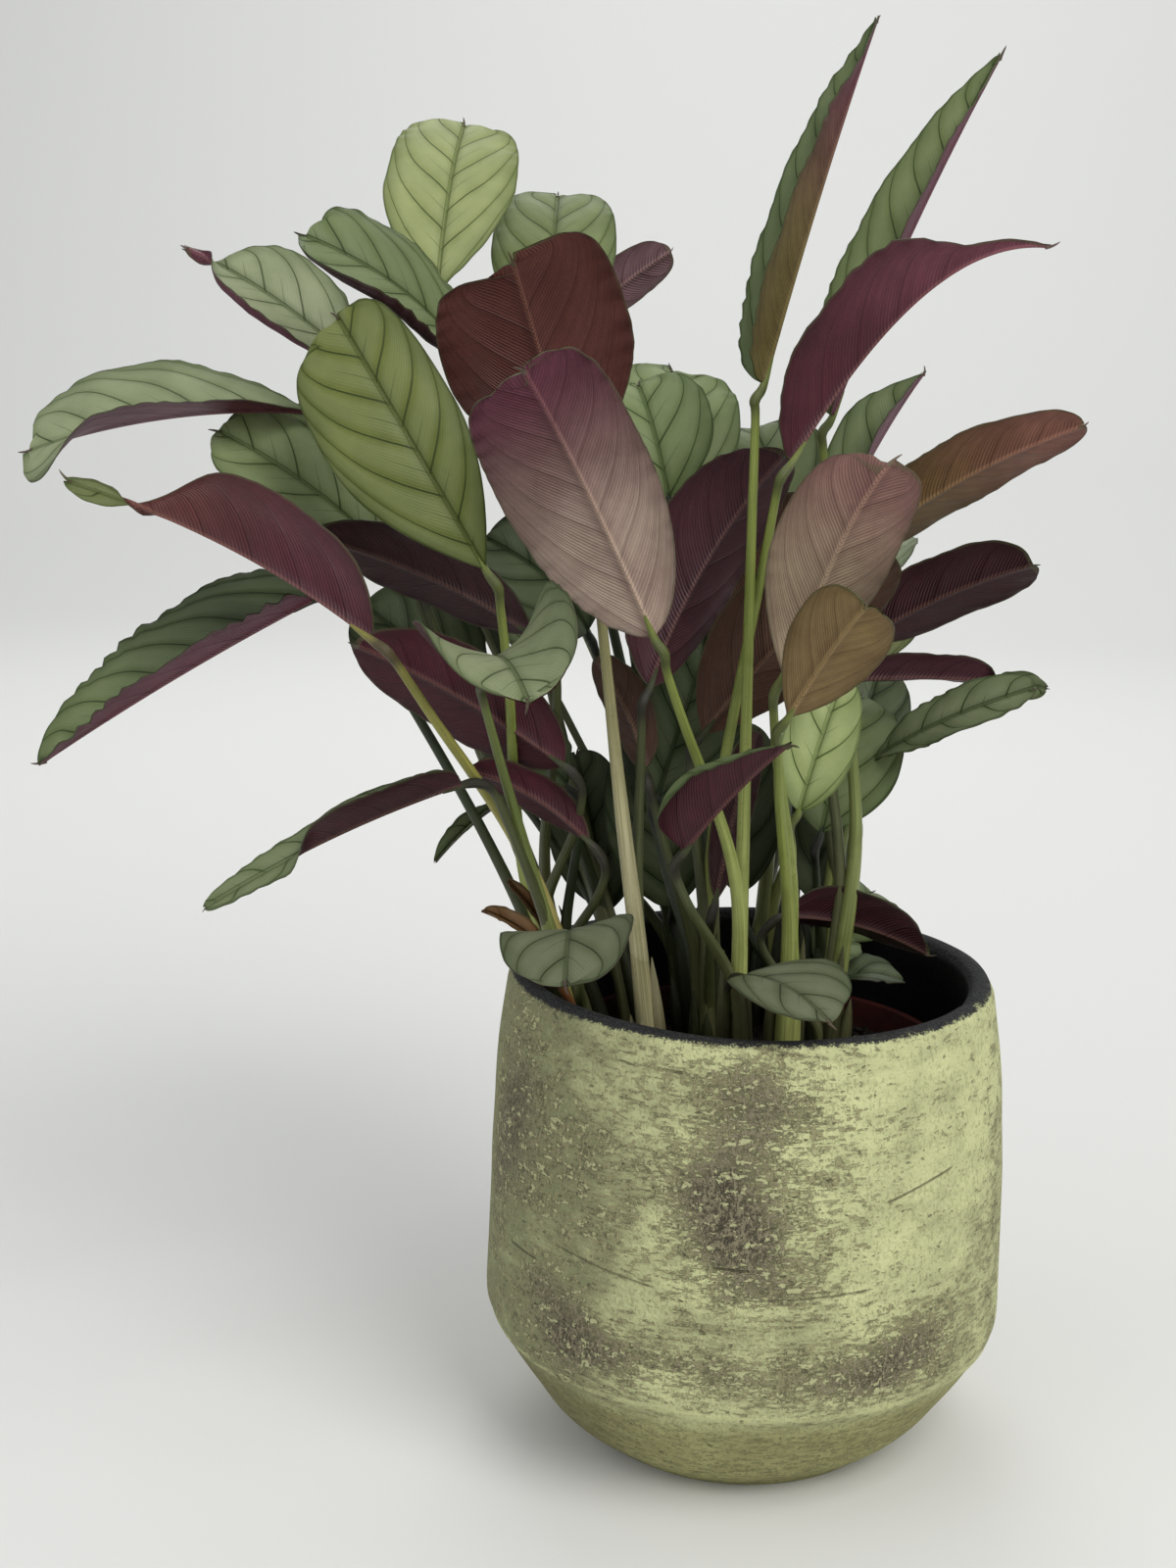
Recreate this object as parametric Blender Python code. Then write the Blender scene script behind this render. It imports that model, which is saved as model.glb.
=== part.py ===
"""Potted ctenanthe: a clay pot, the nursery pot inside it, the soil, and fifteen leafy shoots.

Origin: centre of the pot's underside. X right, Y back, Z up. All sizes below are in millimetres.
Every shoot is one grown piece: a sheathed stem, and for each leaf a petiole, the bent joint and the blade.
"""
import bpy
import bmesh
import numpy as np
from math import cos, pi, radians, sin
from mathutils import Matrix

MM = 0.001

# The clay pot: radius and height of its outside, from the foot up to the lip
POT_HEIGHT = 171.0
POT_OUTSIDE = ((53.5, 0.0), (55.5, 1.6), (68.7, 12.0), (77.7, 24.0), (85.8, 36.0), (92.0, 47.5),
               (92.8, 52.0), (91.9, 90.0), (90.2, 130.0), (86.8, 159.0), (85.6, 168.0))
POT_LIP = ((83.6, 170.5), (80.8, POT_HEIGHT), (78.0, 170.4), (76.4, 168.0))
POT_INSIDE = ((77.8, 158.0), (81.4, 130.0), (83.4, 60.0), (81.0, 45.0), (64.0, 17.0), (57.0, 10.0))
POT_SEGMENTS = 40

# The nursery pot stands on the clay pot's floor, and the soil fills it to a little below its rim
FIT_GAP = 0.3
FLOOR = 10.0
NURSERY_FOOT = 50.0
NURSERY_RIM = 70.0
NURSERY_TOP = 143.0
NURSERY_WALL = 1.2
NURSERY_BAND = 6.0
NURSERY_SEGMENTS = 28
DRAIN_COUNT = 6
DRAIN_RADIUS = 4.0
DRAIN_CIRCLE = 32.0
SOIL_TOP = 134.0
SOIL_BUMP = 1.1
STEM_DEPTH = 18.0
STEM_RADIUS = 3.8
HOLE_RADIUS = 4.5

# A blade's grid: places along the midrib and across the half widths
ALONG = (0.0, 0.12, 0.32, 0.54, 0.76, 0.93, 1.0)
ACROSS_BROAD = (-1.0, -0.55, 0.0, 0.55, 1.0)
ACROSS_NARROW = (-1.0, 0.0, 1.0)
NECK_STEPS = (-0.22, -0.06, -0.02, 0.02, 0.06, 0.1)
BROAD_FROM = 41.0
BLADE_THICK = 0.7
RIB_DEPTH = 0.9
TIP_POINT = 2.0
TIP_WIDTH = 0.9
SECTION_STEPS = 24
WAVE_LENGTH = 31.0
JOINT_LENGTH = 13.0
PETIOLE_FOOT = 2.6
PETIOLE_TOP = 1.7
PETIOLE_SIDES = 4
PETIOLE_STEPS = 4
STEM_SIDES = 6

COLOURS = {
    "clay": ((0.23, 0.27, 0.13), 0.85),
    "terracotta": ((0.16, 0.035, 0.02), 0.6),
    "soil": ((0.012, 0.009, 0.007), 0.95),
    "leaf_face": ((0.17, 0.23, 0.15), 0.5),
    "leaf_back": ((0.07, 0.015, 0.03), 0.5),
    "stem": ((0.2, 0.26, 0.06), 0.5),
}


def leaf(rise, base, tip, width, bow, face, fold=(12, 12), curl=(0, 0), twist=0, belly=1.0, point=0.42,
         slant=0, roll=(0, 0), neck=(2.0, 0.0, 0.0), open_tip=1.0, halves=(1.0, 1.0), tail=None, heel=0.8,
         wave=0.7):
    """One leaf. rise: where its petiole leaves the stem, above the soil. base and tip: the blade's two ends.

    bow: how far the midrib bulges towards the upper face. face: heading and height of the upper face's
    normal, in degrees. fold and curl: how the left and right halves rise from the midrib. twist: turn of the
    blade from base to tip. belly: below 1 the blade is widest near its base, above 1 near its tip. point:
    small for a blunt tip, near 1 for a long one. slant: how far one half ends before the other. roll: turn of
    the outer margins. neck: place along the blade where it slims and twists, how much it slims beyond and
    how much it is pinched there. open_tip: share of the fold left at the tip. halves: width of the left and
    right halves. tail: the way the tip points. heel: small for a broad base. wave: height of the margin's
    waves.
    """
    return {"rise": rise, "base": base, "tip": tip, "width": width, "bow": bow, "face": face, "fold": fold,
            "curl": curl, "twist": twist, "belly": belly, "point": point, "slant": slant, "roll": roll,
            "neck": neck, "open_tip": open_tip, "halves": halves, "tail": tail, "heel": heel, "wave": wave}


# Each shoot: foot on the soil (x, y), lean per 100 mm of height (x, y), and leaves
SHOOTS = {
    "shoot_01": ((-4, -40), (0, -6), (
        leaf(60, (-34, -66, 297), (-71, -106, 378), 54, 9, (103, 30), (14, 8), (-14, 0), belly=1.15,
             point=0.15, slant=5, halves=(0.8, 1.0), heel=0.5),
        leaf(50, (-3, -26, 375), (30, 10, 492), 28, 1, (-158, 10), (62, 52), twist=20, belly=0.62,
             point=0.8, open_tip=0.4, wave=0.4),
        leaf(30, (-22, -72, 230), (9, -100, 270), 38, 2, (112, 28), (60, 26), (20, 16), belly=0.6,
             point=1.2, roll=(0, -220)),
        leaf(6, (-2, -54, 184), (25, -83, 179), 40, 4, (-62, 72), (8, 8), point=0.45))),
    "shoot_02": ((-32, -36), (-14, -4), (
        leaf(90, (-60, -36, 341), (-80, -62, 410), 62, 8, (110, 30), (12, 12), (-16, -10), belly=1.3,
             point=0.15, slant=6),
        leaf(40, (-37, -30, 275), (5, -20, 352), 44, 10, (112, 12), (22, 22), (10, 10), point=0.5))),
    "shoot_03": ((-52, -28), (-30, -20), (
        leaf(8, (-57, -76, 201), (-55, -120, 199), 42, 8, (-90, 62), (10, -6), (14, 10), belly=1.1,
             point=0.28),
        leaf(50, (-87, -72, 282), (-65, -138, 287), 58, 10, (-82, 60), (14, 12), (70, 36), belly=1.2,
             point=0.26),
        leaf(60, (-120, -84, 296), (-212, -90, 342), 44, 9, (116, 32), (14, 58), (10, 0), twist=165,
             belly=0.85, point=0.5, neck=(0.8, 0.4, 0.8), open_tip=0.2),
        leaf(30, (-94, -70, 248), (-168, -105, 214), 17, 5, (-90, 42), (122, 22), belly=0.65, heel=0.45,
             point=0.36, neck=(0.62, 0.2, 0.0), open_tip=0.1, wave=0.6),
        leaf(2, (-71, -50, 191), (-88, -60, 204), 9, 2, (-60, 40), (45, 45), twist=20, belly=0.8,
             wave=0.2))),
    "shoot_04": ((-58, -8), (-42, -10), (
        leaf(25, (-55, -40, 224), (-94, -52, 249), 16, 6, (92, 24), (34, 20)),
        leaf(25, (-147, -46, 303), (-230, -72, 251), 54, 2, (-95, 52), (62, 10), (0, -10), belly=0.6,
             point=0.6, open_tip=0.8, halves=(0.62, 1.0)),
        leaf(40, (-64, -42, 250), (-129, -64, 291), 34, 6, (100, 18), (18, 18), belly=0.85, point=0.55),
        leaf(40, (-87, -66, 316), (-137, -50, 393), 52, 7, (-95, 28), (10, 12), (-20, -30), belly=1.25,
             point=0.2, slant=-5, halves=(1.0, 0.72)),
        leaf(5, (-68, -28, 185), (-83, -36, 208), 8, 2, (-60, 30), (45, 45), belly=0.8, wave=0.2))),
    "shoot_05": ((-56, 12), (-44, -4), (
        leaf(30, (-151, -24, 363), (-241, -44, 349), 48, 6, (-95, 50), (50, 8), (0, -10), belly=1.45,
             point=0.2, open_tip=0.0, slant=3, halves=(1.0, 1.16)),
        leaf(35, (-74, -48, 294), (-146, -50, 324), 27, 6, (98, 28), (16, 16), point=0.6),
        leaf(45, (-120, -14, 306), (-181, -30, 356), 43, 9, (-90, 42), (12, 12), (10, -24), belly=1.1,
             point=0.3),
        leaf(15, (-103, 14, 256), (-140, 10, 294), 46, 7, (-90, 45), (12, 12), belly=1.1),
        leaf(25, (-67, 3, 234), (-97, -2, 254), 30, 5, (-90, 50)))),
    "shoot_06": ((-42, 32), (-34, 12), (
        leaf(25, (-95, 28, 221), (-114, 4, 204), 9, 2, (-90, 60), (50, 50)),
        leaf(50, (-101, 14, 373), (-152, -30, 419), 50, 9, (-82, 46), (14, 14), (0, -34), belly=1.15,
             point=0.24, roll=(130, 0), slant=4),
        leaf(35, (-154, 40, 382), (-212, 44, 418), 42, 5, (-92, 46), (22, 10), (0, -12), twist=170,
             belly=0.75, point=1.0, roll=(120, 0), neck=(0.85, 0.2, 0.55)),
        leaf(20, (-102, 5, 303), (-129, -5, 330), 28, 5, (90, 20), (16, 16)),
        leaf(25, (-136, 40, 334), (-176, 50, 359), 44, 8, (-90, 40), (12, 12), belly=1.1),
        leaf(10, (-54, 42, 178), (-68, 50, 236), 34, 5, (-90, 32), (10, 10)))),
    "shoot_07": ((-22, 38), (-20, 16), (
        leaf(60, (-117, 22, 403), (-117, 84, 466), 48, 7, (-90, 45), (12, 12), (-22, -26), belly=1.2,
             point=0.15, slant=8),
        leaf(40, (-79, 46, 390), (-83, 96, 442), 46, 7, (-90, 45), (8, 8), (-16, -16), point=0.2, slant=3),
        leaf(70, (-66, 75, 400), (-40, 96, 422), 20, 4, (90, 20), (14, 14), point=0.3),
        leaf(20, (-61, 8, 288), (-95, -8, 321), 44, 8, (-90, 42), (12, 12), belly=1.1),
        leaf(30, (-34, 12, 335), (-47, 34, 373), 42, 7, (-90, 42), point=0.3),
        leaf(10, (-30, 34, 182), (-42, 40, 246), 40, 5, (-90, 35), (10, 10)))),
    "shoot_08": ((-12, 18), (-6, 12), (
        leaf(30, (-32, 34, 329), (-37, 74, 378), 48, 7, (-90, 45), (10, 10), (-14, -14), point=0.2,
             slant=9),)),
    "shoot_09": ((12, -24), (2, -8), (
        leaf(60, (7, -62, 285), (36, -84, 353), 40, 8, (80, 22), (10, 10), (-10, -10), belly=1.15,
             point=0.2, slant=4, halves=(0.86, 1.0), tail=(14, -8, 20)),
        leaf(45, (9, -68, 273), (30, -100, 312), 32, 5, (80, 25), (14, 30), belly=1.1, point=0.5),
        leaf(30, (14, -36, 236), (27, -24, 279), 25, 5, (-90, 35), (8, 8), belly=0.95, point=0.5))),
    "shoot_10": ((28, -6), (10, -2), (
        leaf(50, (28, -8, 286), (86, -32, 319), 28, 6, (95, 22), (18, 14), belly=1.1, point=0.32),
        leaf(70, (31, -2, 320), (101, -16, 363), 30, 6, (102, 34), (14, 14), belly=0.8, point=0.4),
        leaf(8, (12, -6, 192), (61, -14, 182), 27, 5, (95, 30), (30, 14), belly=0.8, point=0.6))),
    "shoot_11": ((24, 16), (8, 8), (
        leaf(80, (21, 18, 364), (73, 33, 484), 37, 3, (-128, 22), (22, 60), belly=0.68, point=0.8,
             open_tip=0.75, halves=(1.0, 0.7), wave=0.5),
        leaf(70, (27, 40, 330), (55, 62, 379), 32, 2, (-132, 20), (30, 52), belly=0.8, point=1.1),
        leaf(50, (28, 18, 272), (97, 0, 274), 17, 4, (95, 25), (48, 30), twist=150, belly=0.8,
             point=0.36, neck=(0.78, 0.0, 0.5), open_tip=0.1),
        leaf(40, (40, 16, 244), (90, -20, 277), 18, 4, (-92, 40), (26, 14), belly=1.3, point=0.3),
        leaf(30, (23, 8, 219), (35, 36, 263), 44, 6, (-90, 35), (8, 8)),
        leaf(15, (21, 24, 190), (29, 46, 222), 27, 6, (-90, 35), (8, 8)),
        leaf(40, (32, 44, 229), (44, 62, 269), 34, 6, (-90, 35), (8, 8)),
        leaf(5, (21, 22, 165), (38, 30, 173), 24, 3, (-90, 66), (10, 10)),
        leaf(3, (30, 16, 162), (55, 20, 162), 24, 3, (-90, 84), (10, 10)))),
    "shoot_12": ((12, 40), (8, 14), (
        leaf(10, (29, 40, 171), (45, 62, 184), 38, 6, (-90, 40), (8, 8)),
        leaf(40, (7, 52, 320), (-6, 80, 357), 44, 7, (-90, 42), (10, 10), point=0.3),
        leaf(14, (-5, 44, 186), (-6, 55, 248), 31, 6, (-90, 32), (12, 12)))),
    "shoot_13": ((-14, -10), (-4, 0), (
        leaf(45, (7, -31, 350), (86, -22, 419), 46, 13, (128, 18), (60, 12), belly=0.8, point=0.8,
             neck=(0.8, 0.72, 0.0), tail=(34, 2, -3), wave=0.8),
        leaf(15, (-13, -20, 200), (-1, -22, 260), 14, 4, (95, 15), (14, 14)),
        leaf(40, (-19, -13, 257), (37, -48, 324), 44, 8, (95, 20)),
        leaf(30, (-13, 8, 270), (14, 0, 337), 32, 7, (95, 20)),
        leaf(25, (-38, -16, 244), (-57, 2, 279), 20, 4, (90, 35)),
        leaf(20, (-35, 8, 230), (-12, 22, 302), 46, 7, (-90, 30), (10, 10)))),
    "shoot_14": ((-23, 50), (-16, 22), (
        leaf(60, (-51, 95, 285), (-78, 165, 338), 50, 10, (-70, 50), (12, 12), belly=1.1, point=0.3,
             wave=0.9),
        leaf(50, (-13, 98, 300), (-2, 168, 352), 48, 10, (-95, 50), (12, 12), belly=1.1, point=0.3,
             slant=4),
        leaf(20, (-82, 74, 262), (-132, 112, 300), 48, 10, (-40, 50), (12, 12), belly=1.1, wave=0.9),
        leaf(40, (-31, 84, 218), (-36, 156, 246), 46, 12, (-90, 60), (12, 12), belly=1.1, point=0.34),
        leaf(12, (-80, 62, 222), (-118, 96, 238), 36, 10, (-40, 60), (12, 12), belly=1.1))),
    "shoot_15": ((2, 51), (6, 24), (
        leaf(60, (16, 84, 262), (52, 140, 312), 46, 9, (-125, 50), (12, 12), belly=1.1, point=0.32),
        leaf(30, (42, 76, 262), (80, 104, 300), 42, 9, (-150, 45), (12, 12), belly=1.1, wave=0.9),
        leaf(30, (12, 84, 205), (34, 138, 226), 42, 10, (-110, 60), (12, 12), belly=1.1))),
}


def unit(vector):
    """The vector at length one."""
    vector = np.asarray(vector, float)
    return vector / np.linalg.norm(vector)


def stem_point(foot, lean, height):
    """A point of a stem's centre line: upright at the soil, then leaning outward."""
    up = max(height, 0.0) / 100.0
    out = up * up / (up + 0.12)
    return np.array([foot[0] + lean[0] * out, foot[1] + lean[1] * out, SOIL_TOP + height])


def rising(value, low, high):
    """0 below low, 1 above high and smooth between."""
    share = np.clip((value - low) / (high - low), 0.0, 1.0)
    return share * share * (3.0 - 2.0 * share)


def half_widths(spec, along):
    """Half width of a blade: rounded at the base as its heel says, then as its point and neck say."""
    place = along ** spec["belly"]
    full = np.maximum(0.0, 1.0 - np.abs(1.0 - 2.0 * place) ** 2.2)
    widths = 0.5 * spec["width"] * np.where(place < 0.5, full ** spec["heel"], full ** spec["point"])
    neck, slim, pinch = spec["neck"]
    widths = widths * (1.0 - slim * rising(along, neck - 0.2, neck))
    return np.maximum(widths * (1.0 - pinch * np.exp(-((along - neck) / 0.1) ** 2)), TIP_WIDTH)


def midrib(spec, along):
    """Points, directions and upper normals along the bowed and twisted midrib."""
    fine = np.unique(np.concatenate([np.linspace(0.0, 1.0, 41), along]))
    base, tip = np.array(spec["base"], float), np.array(spec["tip"], float)
    chord = unit(tip - base)
    heading, height = radians(spec["face"][0]), radians(spec["face"][1])
    toward = np.array([cos(height) * cos(heading), cos(height) * sin(heading), sin(height)])
    upper = unit(toward - chord * (toward @ chord))
    middle = (base + tip) / 2.0 + upper * spec["bow"] * 2.0
    first = base + (middle - base) * 2.0 / 3.0
    last = tip + (middle - tip) * 2.0 / 3.0 if spec["tail"] is None else tip - np.array(spec["tail"], float)
    t = fine[:, None]
    s = 1.0 - t
    points = s ** 3 * base + 3 * s * s * t * first + 3 * s * t * t * last + t ** 3 * tip
    ways = s * s * (first - base) + 2 * s * t * (last - first) + t * t * (tip - last)
    ways /= np.linalg.norm(ways, axis=1)[:, None]
    normals = np.zeros_like(ways)
    half = int(np.argmin(np.abs(fine - 0.5)))
    normals[half] = unit(upper - ways[half] * (upper @ ways[half]))
    for order in (range(half + 1, len(fine)), range(half - 1, -1, -1)):
        near = half
        for i in order:
            normals[i] = unit(normals[near] - ways[i] * (normals[near] @ ways[i]))
            near = i
    neck = spec["neck"][0]
    share = rising(fine, neck - 0.07, neck + 0.07) if neck < 1.0 else fine - 0.5
    turn = (radians(spec["twist"]) * share)[:, None]
    normals = np.cos(turn) * normals + np.sin(turn) * np.cross(ways, normals)
    pick = np.searchsorted(fine, along)
    return points[pick], ways[pick], normals[pick]


def half_section(spec, along, widths, right):
    """How far sideways and upward one half reaches, at even steps from the midrib to the margin."""
    places = (np.arange(SECTION_STEPS) + 0.5) / SECTION_STEPS
    neck = spec["neck"][0]
    low, high = (0.7, 1.0) if neck > 1.0 else (neck - 0.08, neck + 0.1)
    open_share = 1.0 - (1.0 - spec["open_tip"]) * rising(along, low, high)
    narrow = widths / (spec["width"] / 2.0)
    angles = radians(spec["fold"][right]) * open_share[:, None]
    angles = angles + radians(spec["curl"][right]) * narrow[:, None] * places
    turned_margin = radians(spec["roll"][right]) * np.sin(pi * along) ** 0.5
    angles = angles + turned_margin[:, None] * rising(places, 0.72, 1.0)
    step = widths[:, None] * spec["halves"][right] / SECTION_STEPS
    start = np.zeros((len(along), 1))
    sideways = np.hstack([start, np.cumsum(np.cos(angles) * step, axis=1)])
    upward = np.hstack([start, np.cumsum(np.sin(angles) * step, axis=1)])
    return sideways, upward


def pick_place(table, place):
    """The table's column at a place from 0 to 1, between its own columns where needed."""
    spot = min(max(place, 0.0), 1.0) * SECTION_STEPS
    low = min(int(spot), SECTION_STEPS - 1)
    return table[:, low] * (low + 1 - spot) + table[:, low + 1] * (spot - low)


def blade_surface(spec, along, across, seed):
    """Middle surface of a blade as a grid of points, with the normal at each point."""
    points, ways, normals = midrib(spec, along)
    sides = np.cross(ways, normals)
    length = np.linalg.norm(np.subtract(spec["tip"], spec["base"]))
    widths = half_widths(spec, along)
    grid = np.zeros((len(along), len(across), 3))
    out = np.zeros_like(grid)
    gap = across[1] - across[0]
    for j, place in enumerate(across):
        right = place >= 0.0
        sign = 1.0 if right else -1.0
        sideways, upward = half_section(spec, along, widths, right)
        inner, outer = abs(place) - gap, abs(place) + gap
        run = pick_place(sideways, outer) - pick_place(sideways, inner)
        climb = pick_place(upward, outer) - pick_place(upward, inner)
        end = np.arctan2(climb, run) * (abs(place) > 0.01)
        phase = seed * 1.7 + (1.9 if right else 0.0)
        swell = np.sin(pi * along) ** 0.5 * place ** 2
        wave = swell * spec["wave"] * np.sin(2 * pi * along * length / WAVE_LENGTH + phase)
        lag = place * spec["slant"]
        lag = (lag if lag > 0.0 else 0.3 * lag) * rising(along, 0.55, 1.0)
        grid[:, j] = points + sides * (sign * pick_place(sideways, abs(place)))[:, None]
        grid[:, j] += normals * (pick_place(upward, abs(place)) + wave)[:, None] - ways * lag[:, None]
        out[:, j] = normals * np.cos(end)[:, None] - sides * (sign * np.sin(end))[:, None]
    return grid, out


def petiole_path(spec, foot, lean):
    """Centre line and radii of a petiole: up from the stem, then through the bent joint to the blade."""
    base = np.array(spec["base"], float)
    points, ways, normals = midrib(spec, np.array([0.0]))
    start = stem_point(foot, lean, spec["rise"])
    stem_way = unit(start - stem_point(foot, lean, spec["rise"] - 10.0))
    way = unit(base - start)
    elbow = base - unit(ways[0] * 0.55 + way * 0.45) * JOINT_LENGTH
    third = np.linalg.norm(elbow - start) / 3.0
    lower, upper = start + stem_way * third, elbow - way * third
    path = []
    for t in np.linspace(0.0, 1.0, PETIOLE_STEPS):
        s = 1.0 - t
        path.append(s ** 3 * start + 3 * s * s * t * lower + 3 * s * t * t * upper + t ** 3 * elbow)
    bend = unit(way - ways[0]) if np.linalg.norm(way - ways[0]) > 0.05 else np.zeros(3)
    path.append((elbow + base) / 2.0 + bend * 0.16 * JOINT_LENGTH - normals[0] * 0.3)
    path.append(base - ways[0] * 2.5 - normals[0] * 0.5)
    radii = list(np.linspace(PETIOLE_FOOT, PETIOLE_TOP, PETIOLE_STEPS)) + [1.9, 1.4]
    return np.array(path), radii


def tube_rings(path, radii, sides):
    """Corners of the rings round a path, and the triangles of its wall and its first end."""
    ways = np.gradient(path, axis=0)
    ways /= np.linalg.norm(ways, axis=1)[:, None]
    across = unit(np.cross(ways[0], (0.0, 1.0, 0.0) if abs(ways[0][1]) < 0.9 else (1.0, 0.0, 0.0)))
    corners, triangles = [], []
    for centre, way, radius in zip(path, ways, radii):
        across = unit(across - way * (across @ way))
        other = np.cross(way, across)
        for k in range(sides):
            angle = 2 * pi * k / sides
            corners.append(centre + radius * (cos(angle) * across + sin(angle) * other))
    for i in range(len(path) - 1):
        for k in range(sides):
            a, b = i * sides + k, i * sides + (k + 1) % sides
            triangles += [(a, b, b + sides), (a, b + sides, a + sides)]
    triangles += [(0, k + 1, k) for k in range(1, sides - 1)]
    return corners, triangles


def stem_shell(foot, lean, top):
    """The stem as a closed shell, from its buried foot to just above its highest petiole."""
    levels = (-STEM_DEPTH, 2.0, top * 0.5, top + 2.0)
    path = np.array([stem_point(foot, lean, level) for level in levels])
    radii = [STEM_RADIUS * share for share in (1.0, 1.0, 0.9, 0.45)]
    corners, triangles = tube_rings(path, radii, STEM_SIDES)
    last = len(corners) - STEM_SIDES
    triangles += [(last, last + k, last + k + 1) for k in range(1, STEM_SIDES - 1)]
    return np.array(corners), triangles, [2] * len(triangles)


def bridge(blade_ring, stalk_ring, stalk_angles):
    """Triangles between the blade's base and the petiole's last ring, each listed once round.

    The blade's ring starts at the right end of its upper row, where the petiole's angles start too.
    """
    shares = [(k + 0.5) / len(blade_ring) for k in range(len(blade_ring))]
    first = list(zip(shares, blade_ring))
    second = sorted((angle / (2 * pi) % 1.0, corner) for angle, corner in zip(stalk_angles, stalk_ring))
    first.append((first[0][0] + 1.0, first[0][1]))
    second.append((second[0][0] + 1.0, second[0][1]))
    triangles = []
    i = j = 0
    while i < len(first) - 1 or j < len(second) - 1:
        step_first = j == len(second) - 1 or (i < len(first) - 1 and first[i + 1][0] <= second[j + 1][0])
        if step_first:
            triangles.append((first[i][1], first[i + 1][1], second[j][1]))
            i += 1
        else:
            triangles.append((first[i][1], second[j + 1][1], second[j][1]))
            j += 1
    return triangles


def leaf_shell(spec, foot, lean, seed):
    """A leaf as one closed shell: its petiole, then the blade.

    Returns corners, triangles and a material number for each triangle: 0 the upper face, 1 the under face
    and the rim, 2 the petiole.
    """
    path, radii = petiole_path(spec, foot, lean)
    stalk_corners, stalk_triangles = tube_rings(path, radii, PETIOLE_SIDES)
    along = np.array(ALONG)
    neck = spec["neck"][0]
    if neck < 1.0:
        near = [neck + step for step in NECK_STEPS if 0.42 < neck + step < 0.98]
        along = np.array([0.0, 0.14, 0.4] + near + [1.0])
    across = ACROSS_BROAD if spec["width"] > BROAD_FROM else ACROSS_NARROW
    grid, out = blade_surface(spec, along, across, seed)
    rows, columns = len(along), len(across)
    middle = columns // 2
    grid[-1] += unit(grid[-1, middle] - grid[-2, middle]) * TIP_POINT
    upper = grid + out * BLADE_THICK / 2.0
    lower = grid - out * BLADE_THICK / 2.0
    lower[:, middle] -= out[:, middle] * np.linspace(RIB_DEPTH, 0.2 * RIB_DEPTH, rows)[:, None]
    first = len(stalk_corners)
    corners = np.concatenate([stalk_corners, upper.reshape(-1, 3), lower.reshape(-1, 3)])
    under = rows * columns
    triangles, materials = [], []
    for i in range(rows - 1):
        for j in range(columns - 1):
            a, b = first + i * columns + j, first + i * columns + j + 1
            c, d = b + columns, a + columns
            split = ((a, b, c), (a, c, d)) if j < middle else ((a, b, d), (b, c, d))
            for p, q, r in split:
                triangles += [(p, q, r), (p + under, r + under, q + under)]
                materials += [0, 1]
    edge = [i * columns + columns - 1 for i in range(rows)]
    edge += [(rows - 1) * columns + j for j in range(columns - 2, -1, -1)]
    edge += [i * columns for i in range(rows - 2, -1, -1)]
    for a, b in zip(edge, edge[1:]):
        a, b = a + first, b + first
        triangles += [(a, a + under, b + under), (a, b + under, b)]
        materials += [1, 1]
    blade_ring = [first + j for j in range(columns - 1, -1, -1)] + [first + under + j for j in range(columns)]
    stalk_ring = list(range(first - PETIOLE_SIDES, first))
    points, ways, normals = midrib(spec, np.array([0.0]))
    offset = corners[stalk_ring] - path[-1]
    angles = np.arctan2(offset @ normals[0], offset @ np.cross(ways[0], normals[0]))
    stalk_triangles += bridge(blade_ring, stalk_ring, angles)
    return corners, triangles + stalk_triangles, materials + [2] * len(stalk_triangles)


def mesh_object(name, corners, triangles, material_numbers, materials):
    """An object from corners in millimetres, triangles and a material number for each triangle."""
    mesh = bpy.data.meshes.new(name)
    mesh.from_pydata([tuple(corner * MM) for corner in corners], [], triangles)
    for material in materials:
        mesh.materials.append(material)
    mesh.polygons.foreach_set("material_index", material_numbers)
    obj = bpy.data.objects.new(name, mesh)
    bpy.context.scene.collection.objects.link(obj)
    return obj


def clear_scene():
    """Remove what the scene holds."""
    for obj in list(bpy.data.objects):
        bpy.data.objects.remove(obj)


def make_materials():
    """One plain material for each colour."""
    made = {}
    for name, (colour, roughness) in COLOURS.items():
        material = bpy.data.materials.new(name)
        material.use_nodes = True
        shader = material.node_tree.nodes["Principled BSDF"]
        shader.inputs["Base Color"].default_value = (*colour, 1.0)
        shader.inputs["Roughness"].default_value = roughness
        shader.inputs["Metallic"].default_value = 0.0
        made[name] = material
    return made


def turned(name, profile, segments, material):
    """A closed solid turned about the Z axis from a profile that starts and ends near the axis."""
    shell = bmesh.new()
    rings = []
    for radius, height in profile:
        ring = []
        for k in range(segments):
            angle = 2 * pi * k / segments
            ring.append(shell.verts.new((radius * cos(angle) * MM, radius * sin(angle) * MM, height * MM)))
        rings.append(ring)
    for low, high in zip(rings, rings[1:]):
        for k in range(segments):
            n = (k + 1) % segments
            shell.faces.new((low[k], low[n], high[n], high[k]))
    shell.faces.new(list(reversed(rings[0])))
    shell.faces.new(rings[-1])
    bmesh.ops.recalc_face_normals(shell, faces=shell.faces)
    mesh = bpy.data.meshes.new(name)
    shell.to_mesh(mesh)
    shell.free()
    mesh.materials.append(material)
    mesh.shade_smooth()
    mesh.set_sharp_from_angle(angle=radians(38))
    obj = bpy.data.objects.new(name, mesh)
    bpy.context.scene.collection.objects.link(obj)
    return obj


def apply_modifier(obj, modifier):
    """Make a modifier's result the object's own mesh."""
    bpy.context.view_layer.objects.active = obj
    bpy.ops.object.modifier_apply(modifier=modifier.name)


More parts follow.
